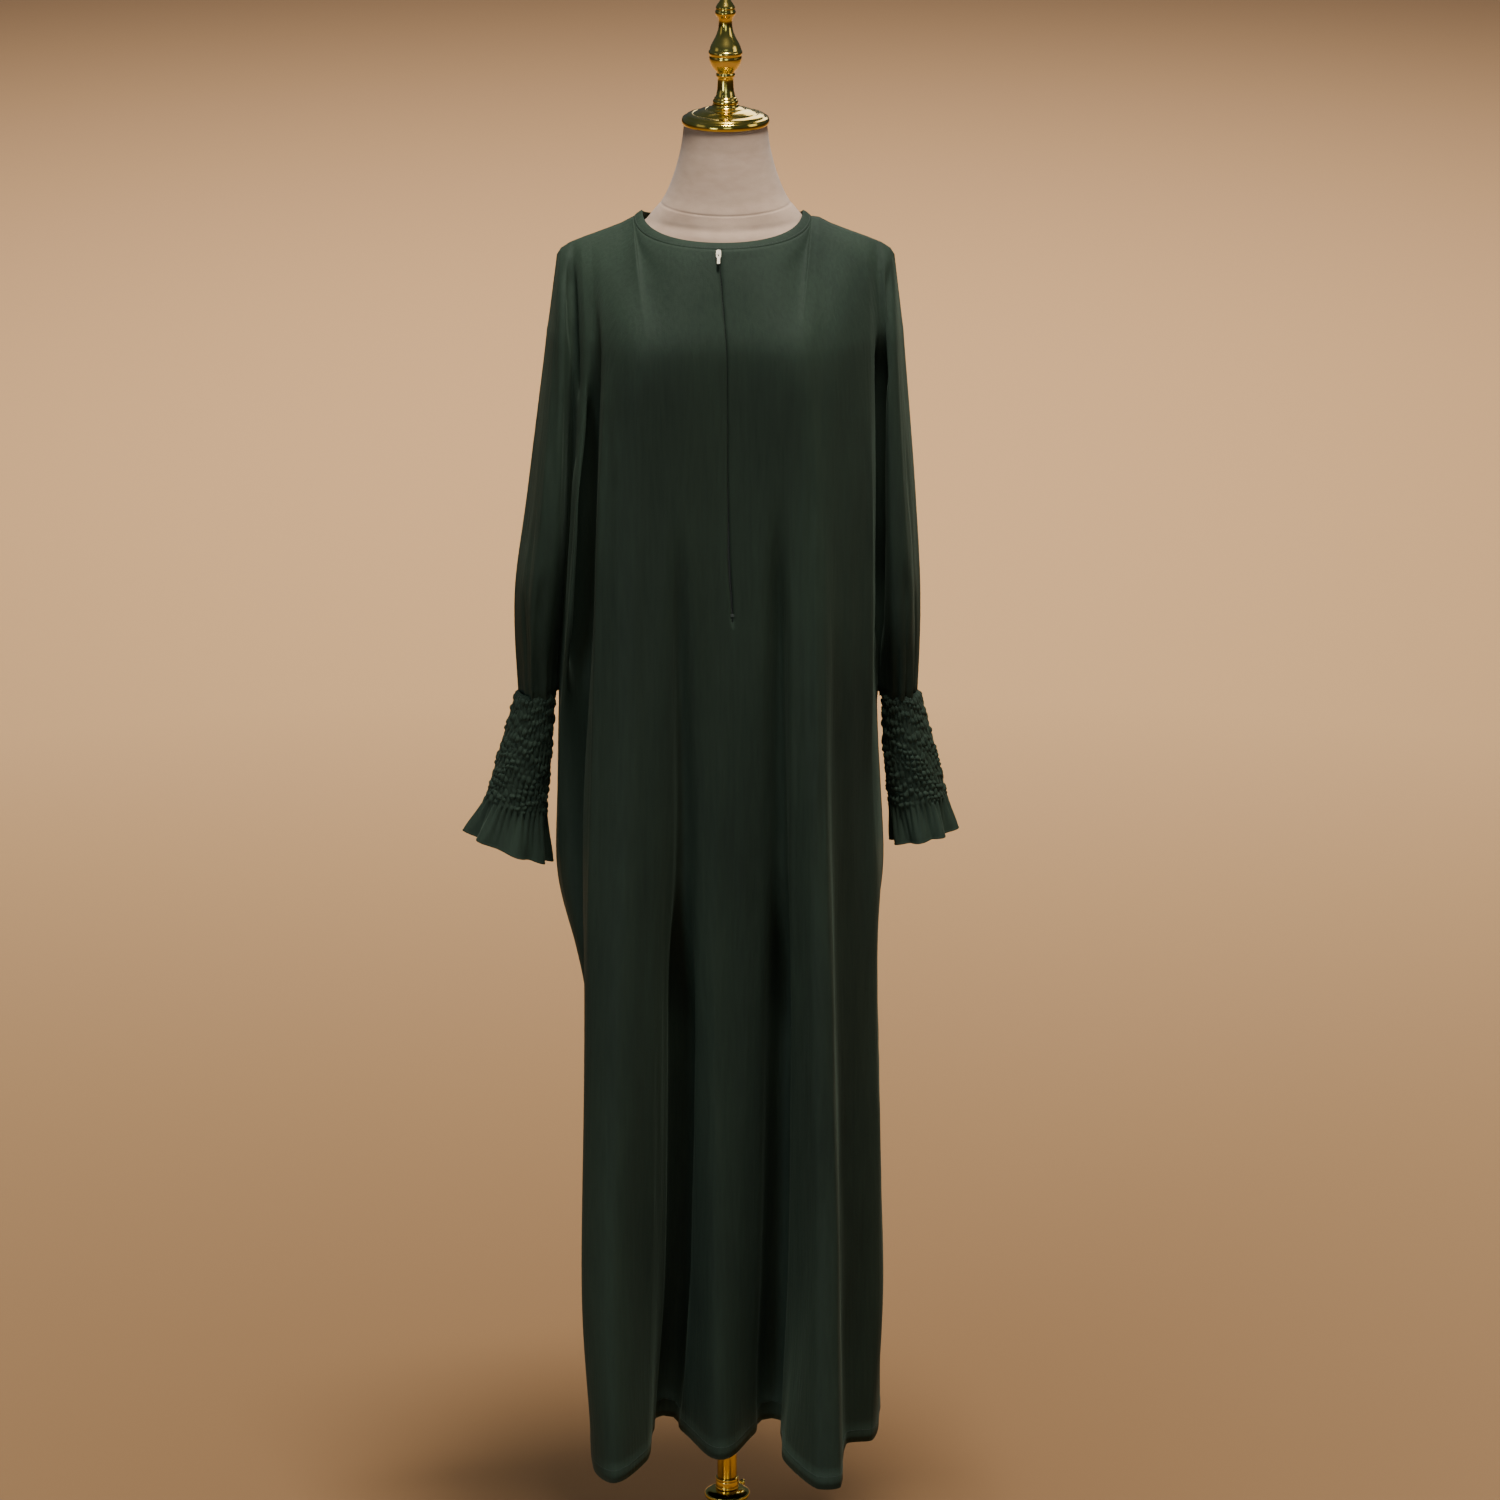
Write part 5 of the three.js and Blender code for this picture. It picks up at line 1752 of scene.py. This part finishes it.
    def thread_row(self, turn: np.ndarray, thread: int) -> np.ndarray:
        """Path of one elastic thread in its groove.

        Args:
            turn: Angle of each point round the cuff.
            thread: Number of the thread from the top.

        Returns:
            One point for each angle.
        """
        line = thread - self.wander(turn, np.full(len(turn), float(thread)))
        place = line / (self.threads - 1) * 2
        points = []
        for k in range(len(turn)):
            points.append(self.surface(place[k : k + 1], turn[k : k + 1], self.thread_lift)[0, 0])
        return np.stack(points)

    def build(self, cloth: Material, elastic: Material) -> list[Piece]:
        """Makes the cuff with its rows of elastic thread.

        Args:
            cloth: The cuff's material.
            elastic: The threads' material.

        Returns:
            The cuff and its threads.
        """
        turn = round_angles(self.around)
        upper, puffs = self.shirring(turn)
        lower, waves = self.ruffle(turn)
        grid = self.surface(np.concatenate([upper, lower]), turn, np.concatenate([puffs, waves]))
        flip = self.sign < 0
        cells = np.ones((len(grid) - 1, self.around), bool)
        thick = np.full(grid.shape[:2], self.wall)
        thick[-2:] = self.edge_wall
        parts = MeshParts()
        add_wall(parts, grid, grid_normals(grid, cells, True, flip), thick, cells, wrap=True, flip=flip)
        made = worn(parts.build(self.name + "_cloth", cloth), "crepe", self.name)
        lines = MeshParts()
        for thread in range(1, self.threads - 1):
            add_tube(lines, self.thread_row(turn, thread), self.thread_radius, 5, True)
        threads = worn(lines.build(self.name + "_elastic", elastic), "crepe")
        return [made, threads]


# ---------------------------------------------------------------- neck and zip
@dataclass
class NeckBinding:
    """Bias strip folded over the neck edge and stitched along its outer side."""

    wall: float = 2.0
    edge_share: float = 0.35
    edge_fade: float = 0.2
    bulge: float = 0.9
    bulge_round: float = 0.7
    pucker: float = 0.12
    puckers: tuple[int, ...] = (23, 41, 67)
    pucker_starts: float = 6.28
    seed: int = 3
    around: int = 320
    section: int = 12
    stitch_line: int = 10
    flat: tuple[float, float] = (0.012, 0.55)

    def surface(self) -> np.ndarray:
        """Lays the strip from the neck edge outwards, a little puckered by its stitching.

        Returns:
            Points as [row, step].
        """
        turns = np.arange(self.around) / self.around * 360.0
        draw = random.Random(self.seed)
        waves = [(count, draw.uniform(0, self.pucker_starts)) for count in self.puckers]
        pucker = sum(np.sin(count * np.radians(turns) + start) for count, start in waves) / len(waves)
        rows = []
        for share in np.linspace(0, 1, self.section + 1):
            line = NECK.at(turns, NECK.binding * share)
            swell = math.sin(math.pi * share)
            line[:, 2] += self.bulge * swell**self.bulge_round + self.pucker * pucker * swell
            rows.append(line)
        return np.stack(rows)

    def build(self, cloth: Material, thread: Material) -> list[Piece]:
        """Makes the binding and its stitches.

        Args:
            cloth: The binding's material.
            thread: The stitches' material.

        Returns:
            The binding and its stitches.
        """
        grid = self.surface()
        cells = np.ones((self.section, self.around), bool)
        normals = grid_normals(grid, cells, True, False)
        edge = steps_from_ends(len(grid)) / self.section
        thick = self.wall * (self.edge_share + (1 - self.edge_share) * eased(edge / self.edge_fade))
        parts = MeshParts()
        add_wall(parts, grid, normals, thick[:, None], cells, wrap=True)
        made = worn(parts.build("neck_binding_cloth", cloth), "crepe", "neck_binding")
        ring = [*range(self.around), 0]
        stitches = MeshParts()
        sewing = Stitching(pitch=2.9, length=2.2, thread=0.36)
        sewing.add_run(stitches, grid[self.stitch_line, ring], normals[self.stitch_line, ring])
        sewn = worn(stitches.build("neck_binding_stitches", thread), "crepe")
        return [made, sewn]


@dataclass
class HiddenZip:
    """Closed zip behind the slit: tape, coil and the bar tack at its foot."""

    front: Panel
    half_tape: float = 11.5
    tape: float = 0.7
    tape_steps: int = 8
    tape_bow: float = 0.9
    behind: float = 1.7
    rows_past: int = 3
    pitch: float = 1.6
    coil_ends: tuple[float, float] = (3.0, 2.0)
    coil_lift: float = 0.35
    loop_reach: tuple[float, float] = (1.1, 0.4)
    loop_height: float = 0.35
    loop_points: int = 6
    loop_wire: float = 0.3
    tack_row: int = -4
    tack_rows: int = 7
    tack_pitch: float = 0.42
    tack_half: float = 2.2
    tack_lift: float = 0.25
    tack_thread: float = 0.2
    flat: tuple[float, float] = (0.024, 0.44)

    def line(self) -> tuple[np.ndarray, np.ndarray]:
        """Follows the middle of the slit from the neck down.

        Returns:
            Its points, and the cloth's normals there.
        """
        column = self.front.column_of(self.front.slit_step)
        rows = slice(1, self.front.slit_row + self.rows_past)
        path = (self.front.grid[rows, column] + self.front.grid[rows, column + 1]) / 2
        normals = self.front.normals[rows, column] + self.front.normals[rows, column + 1]
        normals[:, 0] = 0.0
        return path, unit(normals)

    def build(
        self, tape: Material, coil: Material, thread: Material
    ) -> list[Piece]:
        """Makes the tape, the coil and the bar tack at its foot.

        Args:
            tape: The tape's material.
            coil: The coil's material.
            thread: The bar tack's material.

        Returns:
            The three pieces.
        """
        path, normals = self.line()
        share = np.linspace(-1, 1, self.tape_steps + 1)
        centre = path - normals * self.behind
        grid = centre[:, None] + np.array([1.0, 0.0, 0.0]) * (share * self.half_tape)[None, :, None]
        grid = grid - normals[:, None] * (self.tape_bow * share**2)[None, :, None]
        cells = np.ones((len(grid) - 1, self.tape_steps), bool)
        parts = MeshParts()
        add_wall(parts, grid, np.repeat(normals[:, None], len(share), 1), self.tape, cells)
        made = worn(parts.build("zip_tape_weave", tape), "zip_cloth", "zip_tape")
        teeth = self.coil(path, normals, coil)
        return [made, teeth, self.bar_tack(path[self.tack_row], normals[self.tack_row], thread)]

    def bar_tack(self, at: np.ndarray, normal: np.ndarray, finish: Material) -> Piece:
        """Makes the short rows of thread that close the slit's foot.

        Args:
            at: Where the uppermost row lies.
            normal: The cloth's normal there.
            finish: The thread's material.

        Returns:
            The bar tack.
        """
        parts = MeshParts()
        half = np.linspace(-self.tack_half, self.tack_half, self.tack_rows)
        for k in range(self.tack_rows):
            middle = at + normal * self.tack_lift - np.array([0.0, 0.0, self.tack_pitch * k])
            row = middle + half[:, None] * np.array([1.0, 0.0, 0.0])
            add_tube(parts, row, self.tack_thread, 6)
        return worn(parts.build("zip_foot_bar_tack", finish), "crepe")

    def coil(self, path: np.ndarray, normals: np.ndarray, finish: Material) -> Piece:
        """Makes the interlocked teeth as two rows of small loops.

        Args:
            path: Middle of the slit.
            normals: The cloth's normals there.
            finish: The coil's material.

        Returns:
            The coil.
        """
        places = np.arange(self.coil_ends[0], along(path)[-1] - self.coil_ends[1], self.pitch)
        turn = np.linspace(0, math.pi, self.loop_points)
        reach = self.loop_reach[0] * np.cos(turn) + self.loop_reach[1]
        high = self.loop_height * np.sin(turn)
        parts = MeshParts()
        for k, point in enumerate(resampled(np.concatenate([path, normals], 1), places)):
            centre = point[:3] - point[3:] * (self.behind - self.coil_lift)
            loop = np.stack([-reach if k % 2 else reach, np.zeros(self.loop_points), high], -1)
            add_tube(parts, centre + loop, self.loop_wire, 5)
        return worn(parts.build("zip_coil", finish), "zip_cloth")


# ---------------------------------------------------------------- dress form
FORM_RINGS = Table(
    "z     wide fore  aft  round",
    (870, 140, 94, 86, 2.2),
    (960, 148, 98, 92, 2.2),
    (1040, 146, 98, 95, 2.2),
    (1140, 130, 90, 86, 2.2),
    (1230, 116, 82, 70, 2.2),
    (1330, 128, 98, 78, 2.2),
    (1420, 140, 116, 88, 2.2),
    (1470, 148, 120, 92, 2.1),
    (1530, 162, 108, 88, 1.9),
    (1565, 172, 94, 80, 1.7),
    (1580, 172, 86, 72, 1.6),
    (1588, 162, 82, 68, 1.6),
    (1598, 142, 79, 62, 1.6),
    (1608, 116, 76, 57, 1.6),
    (1618, 96, 72, 54, 1.65),
    (1625, 88, 67, 50, 1.7),
    (1631, 83, 65, 49, 1.8),
    (1637, 78, 63, 48, 1.9),
    (1644, 72, 61, 48, 2.0),
    (1654, 66, 58, 47, 2.0),
    (1668, 60, 55, 46, 2.0),
    (1690, 53, 51, 45, 2.0),
    (1708, 49, 48, 45, 2.0),
    (1731, 46, 46, 46, 2.0),
)


@dataclass
class DressForm:
    """Limbless trunk with a jersey cover and its seams.

    Each upright seam has the angle at which it runs and the trunk's radius there.
    """

    around: int = 144
    seam_width: float = 1.1
    seam_depth: float = 0.55
    neck_seam: tuple[float, float] = (1644.0, 1640.5)
    front_seam: tuple[float, float] = (254.0, 64.0)
    back_seam: tuple[float, float] = (90.0, 50.0)
    bands: tuple[Triple, ...] = ((1731.0, 1664.0, 3.0), (1664.0, 1622.0, 0.8), (1622.0, 1570.0, 3.0))
    foot: float = 870.0
    trunk_rows: int = 60

    def surface(self, degrees: np.ndarray, height: np.ndarray) -> np.ndarray:
        """Finds points of the trunk.

        Args:
            degrees: Turn of each step: 0 is the right side, 270 the front.
            height: Height of each row.

        Returns:
            Points as [row, step].
        """
        turn = np.radians(degrees)[None, :]
        c, s = np.cos(turn), np.sin(turn)
        level = height[:, None]
        wide, fore, aft, power = (FORM_RINGS.at(name, level) for name in ("wide", "fore", "aft", "round"))
        x = wide * np.sign(c) * np.abs(c) ** (2 / power)
        y = np.where(s < 0, fore, aft) * np.sign(s) * np.abs(s) ** (2 / power)
        return np.stack([x, y, level + np.zeros_like(x)], -1)

    def heights(self) -> np.ndarray:
        """Levels of the rows, closest round the foot of the neck."""
        bands = [np.arange(top, foot, -step) for top, foot, step in self.bands]
        return np.concatenate([*bands, np.linspace(self.bands[-1][1], self.foot, self.trunk_rows)])

    def seam_level(self, degrees: np.ndarray) -> np.ndarray:
        """Height of the seam round the foot of the neck; it dips at the front."""
        front = np.clip(-np.sin(np.radians(degrees)), 0, 1)
        return mix(self.neck_seam[0], self.neck_seam[1], front**2)

    def upright_seam(self, degrees: np.ndarray, seam: tuple[float, float]) -> np.ndarray:
        """Depth of an upright seam at each turn, from 0 to 1."""
        away = np.abs((degrees - seam[0] + 180) % 360 - 180)
        return bell(np.radians(away) * seam[1] / self.seam_width)[None, :]

    def build(self, cover: Material) -> Piece:
        """Makes the covered trunk.

        Args:
            cover: The cover's material.

        Returns:
            The trunk.
        """
        degrees = np.arange(self.around) / self.around * 360.0
        grid = self.surface(degrees, self.heights())
        normals = grid_normals(grid, np.ones((len(grid) - 1, self.around), bool), True, False)
        above = grid[..., 2] - self.seam_level(degrees)[None, :]
        depth = bell(above / self.seam_width)
        depth = np.maximum(depth, self.upright_seam(degrees, self.front_seam) * (above < 0))
        depth = np.maximum(depth, self.upright_seam(degrees, self.back_seam))
        parts = MeshParts()
        grid = grid - normals * (self.seam_depth * depth)[..., None]
        add_turned(parts, grid, grid[[0, -1]].mean(1), False)
        return worn(parts.build("form_cover", cover, 60.0), "form_cover", "form_body")


# ---------------------------------------------------------------- turned metal
def rounded(profile: Sequence[tuple[float, float]], cut: float, passes: int) -> np.ndarray:
    """Cuts the corners of a profile again and again, so that they turn into small curves.

    Args:
        profile: Radius and height of each point, with both ends on the axis.
        cut: Most that one cut takes off along a side.
        passes: How many times.

    Returns:
        The finer profile.
    """
    line = np.array(profile, float)
    for _ in range(passes):
        made = [line[0]]
        for a, b in zip(line[:-1], line[1:]):
            length = float(np.linalg.norm(b - a))
            share = min(0.25, cut / max(length, 1e-9))
            made.extend([mix(a, b, share), mix(a, b, 1 - share)])
        line = np.array([*made, line[-1]])
        cut /= 2
    return line


@dataclass
class TurnedPiece:
    """A piece turned about the pole's axis.

    Its profile has the radius and height of each point, from the axis up to the axis.
    """

    name: str
    node: str
    profile: Sequence[tuple[float, float]]
    around: int = 96
    cut: float = 0.6
    passes: int = 2
    sharp_over: float = 38.0

    def build(self, finish: Material) -> Piece:
        """Makes the piece.

        Args:
            finish: Its material.

        Returns:
            The piece.
        """
        line = rounded(self.profile, self.cut, self.passes)[:, None]
        line = line[line[:, 0, 0] > TINY]
        turn = round_angles(self.around)[None, :]
        height = line[..., 1] + np.zeros_like(turn)
        grid = np.stack([line[..., 0] * np.cos(turn), line[..., 0] * np.sin(turn), height], -1)
        parts = MeshParts()
        hubs = np.array([[0.0, 0.0, self.profile[k][1]] for k in (0, -1)])
        add_turned(parts, grid, hubs, True)
        return worn(parts.build(self.name, finish, self.sharp_over), "gold_metal", self.node)


CAP_PROFILE = (
    (0, 1731.4), (47.2, 1731.4), (48.4, 1733), (48.5, 1736), (47.6, 1739.2), (45.0, 1740.2),
    (42.5, 1742.6), (37, 1743.8), (35.5, 1743.4), (33.5, 1745.0), (28, 1747.4), (22.5, 1748.6),
    (21.5, 1748.2), (19.5, 1749.8), (15.5, 1751), (14.5, 1752.2), (14.5, 1754), (0, 1754),
)
FINIAL_PROFILE = (
    (0, 1754.4), (13.6, 1754.4), (14.2, 1756), (14.0, 1758.4), (12.4, 1759.4), (12.6, 1761.2),
    (10.6, 1762.2), (10.2, 1765), (9.2, 1769), (8.8, 1776), (8.7, 1783), (10.2, 1784.6), (10.6, 1787),
    (9.8, 1789), (10.8, 1790.6), (14.4, 1794.6), (17.0, 1799.5), (18.2, 1805), (17.6, 1808.4),
    (18.7, 1810), (18.7, 1813), (17.2, 1814.6), (16.4, 1819), (12.5, 1826), (9.9, 1831), (7.7, 1838),
    (7.2, 1846), (8.3, 1850), (11.2, 1853.6), (11.4, 1857), (10.2, 1859), (10.8, 1862), (7.4, 1867),
    (5.2, 1870.5), (3.0, 1874), (0, 1875.5),
)
POLE_PROFILE = ((0, 112), (11.2, 112), (11.7, 112.6), (11.7, 869), (11.2, 869.6), (0, 869.6))
COLLAR_PROFILE = (
    (0, 97), (13.0, 97), (13.6, 97.8), (13.6, 100), (13.1, 100.6), (13.6, 101.2), (13.6, 107.4),
    (13.1, 108), (13.6, 108.6), (13.6, 110.8), (13.0, 111.6), (0, 111.6),
)
BASE_PROFILE = (
    (0, 0), (132.4, 0), (134.6, 1.6), (135, 3.4), (135, 10.6), (133.4, 13.8), (130.6, 15.2),
    (118, 16.6), (113.5, 18.0), (111, 20.6), (105, 23.4), (90, 26.6), (70, 31), (52, 37), (40, 43),
    (30, 51), (24, 60), (19.5, 69), (18, 76), (18.6, 79.5), (21.4, 82), (21.8, 84.4), (25.6, 86.4),
    (27, 89.4), (26.6, 92.4), (23, 94.6), (19, 96.6), (0, 96.6),
)
# Share of the knob's length and of its radius.
KNOB_PROFILE = (
    (0.0, 0.5), (0.02, 0.52), (0.26, 0.55), (0.3, 0.86), (0.36, 0.96), (0.92, 0.96), (0.98, 0.88),
    (1.0, 0.6),
)


@dataclass
class CollarKnob:
    """Knurled screw that locks the pole."""

    radius: float = 3.2
    start: float = 13.9
    length: float = 7.0
    height: float = 104.0
    ribs: int = 18
    rib_depth: float = 0.25
    ribbed: tuple[float, float] = (0.3, 0.97)
    sharp_over: float = 30.0

    def build(self, finish: Material) -> Piece:
        """Makes the knob along +X.

        Args:
            finish: Its material.

        Returns:
            The knob.
        """
        around = self.ribs * 4
        turn = round_angles(around)
        rows = []
        for share, wide in KNOB_PROFILE:
            deep = self.rib_depth if self.ribbed[0] < share < self.ribbed[1] else 0.0
            radius = wide * self.radius - deep * (0.5 + 0.5 * np.cos(self.ribs * turn))
            x = np.full(around, self.start + share * self.length)
            rows.append(np.stack([x, radius * np.cos(turn), self.height + radius * np.sin(turn)], -1))
        skin, caps = tube_faces(len(rows), around)
        parts = MeshParts()
        parts.add(np.stack(rows), skin[:, ::-1], caps[:, ::-1])
        return worn(parts.build("collar_knob_knurled", finish, self.sharp_over), "gold_metal", "collar_knob")


# ---------------------------------------------------------------- studio
@dataclass(frozen=True)
class Lamp:
    """A soft square light that looks at a point, in metres and watts."""

    name: str
    at: Triple
    aim: Triple
    size: float
    power: float
    colour: Triple = (1.0, 0.97, 0.93)
    spread: float = 180.0

    def build(self) -> None:
        """Hangs the light."""
        data = bpy.data.lights.new(self.name, "AREA")
        data.shape = "SQUARE"
        data.size = self.size
        data.energy = self.power
        data.color = self.colour
        data.spread = math.radians(self.spread)
        made = bpy.data.objects.new(self.name, data)
        made.location = self.at
        made.visible_camera = False
        made.rotation_euler = (Vector(self.aim) - Vector(self.at)).to_track_quat("-Z", "Y").to_euler()
        bpy.context.scene.collection.objects.link(made)


@dataclass
class Studio:
    """Camera, lights and floor, in metres."""

    camera_at: Triple = (0.027, -6.8, 3.1)
    pitch: float = 17.10
    lens: float = 150.0
    sensor: float = 36.0
    sight: float = 200.0
    floor_half: float = 40.0
    sky: Triple = (0.38, 0.58, 0.86)
    sky_strength: float = 0.12
    lamps: tuple[Lamp, ...] = (
        Lamp("key", (0.25, -0.85, 5.0), (0.0, -0.1, 1.2), 0.9, 315.0),
        Lamp("fill_front", (0.5, -5.5, 2.2), (0.0, 0.0, 0.8), 1.8, 22.0, (0.64, 0.84, 1.0)),
        Lamp("fill_low", (-2.4, -4.0, 1.1), (0.0, 0.0, 0.4), 1.2, 5.0, (0.72, 0.88, 1.0), 46.0),
        Lamp("side_left", (-3.2, -1.2, 2.4), (0.0, 0.0, 1.0), 1.4, 2.0),
        Lamp("side_right", (3.0, -0.6, 2.6), (0.0, 0.0, 1.0), 1.4, 9.0),
        Lamp("back", (0.8, 3.2, 3.4), (0.0, 0.0, 1.1), 1.8, 34.0),
        Lamp("floor_far", (0.0, 6.5, 6.0), (0.0, 6.5, 0.0), 6.0, 330.0, (1.0, 0.93, 0.84), 86.0),
    )

    def camera(self) -> None:
        """Sets the camera at the angle of view."""
        data = bpy.data.cameras.new("camera")
        data.lens = self.lens
        data.sensor_width = self.sensor
        data.clip_end = self.sight
        made = bpy.data.objects.new("camera", data)
        made.location = self.camera_at
        made.rotation_euler = Euler((math.radians(90.0 - self.pitch), 0.0, 0.0))
        bpy.context.scene.collection.objects.link(made)
        bpy.context.scene.camera = made

    def floor(self) -> None:
        """Lays the floor."""
        half = self.floor_half / METRE
        corners = [[-half, -half, 0], [half, -half, 0], [half, half, 0], [-half, half, 0]]
        parts = MeshParts()
        parts.add(corners, np.arange(4)[None])
        parts.build("studio_floor", StudioFloor().material())

    def build(self) -> None:
        """Sets up the whole studio."""
        self.camera()
        self.floor()
        for lamp in self.lamps:
            lamp.build()
        world = bpy.data.worlds.new("studio")
        world.use_nodes = True
        background = world.node_tree.nodes["Background"]
        background.inputs["Color"].default_value = (*self.sky, 1.0)
        background.inputs["Strength"].default_value = self.sky_strength
        bpy.context.scene.world = world


def dress_zip_metal(finish: Material) -> None:
    """Gives the slider and the pull their metal; their solids stay.

    Args:
        finish: The metal.
    """
    for name in ("zip_slider", "zip_pull"):
        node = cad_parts[name]
        node.data.materials.clear()
        node.data.materials.append(finish)


def main() -> None:
    """Builds every piece in order and reports it."""
    logging.basicConfig(level=logging.INFO, format="%(name)s: %(message)s")
    Studio().build()
    crepe = Crepe().material()
    thread = Thread("green_thread", (0.03, 0.045, 0.03)).material()
    coil = Thread("coil", (0.02, 0.028, 0.022)).material()
    gold = PolishedGold().material()
    made = [DressForm().build(JerseyCover().material())]
    front = front_panel()
    for panel in (front, back_panel()):
        made.append(panel.build(crepe))
        made.append(panel.hem_stitches(thread))
    made.extend(Cuff("cuff_left", CUFF_LEFT, -1, 5, (0.312, 0.197), 0.0554).build(crepe, thread))
    made.extend(Cuff("cuff_right", CUFF_RIGHT, 1, 9, (0.27, 0.181), 0.047).build(crepe, thread))
    made.extend(NeckBinding().build(crepe, thread))
    made.extend(HiddenZip(front).build(TapeWeave().material(), coil, thread))
    dress_zip_metal(SatinMetal().material())
    turned = (
        TurnedPiece("neck_cap_turned", "neck_cap", CAP_PROFILE, 128, 0.5),
        TurnedPiece("finial_turned", "finial", FINIAL_PROFILE, 96, 2.0, 3),
        TurnedPiece("pole_tube", "pole", POLE_PROFILE, 64, 0.3, 1),
        TurnedPiece("pole_collar_turned", "pole_collar", COLLAR_PROFILE, 72, 0.2, 1),
        TurnedPiece("stand_base_turned", "stand_base", BASE_PROFILE, 128, 1.2),
        CollarKnob(),
    )
    made.extend(piece.build(gold) for piece in turned)
    for piece in made:
        LOG.info("%s: %d faces", piece.name, len(piece.data.polygons))


if __name__ == "__main__":
    main()
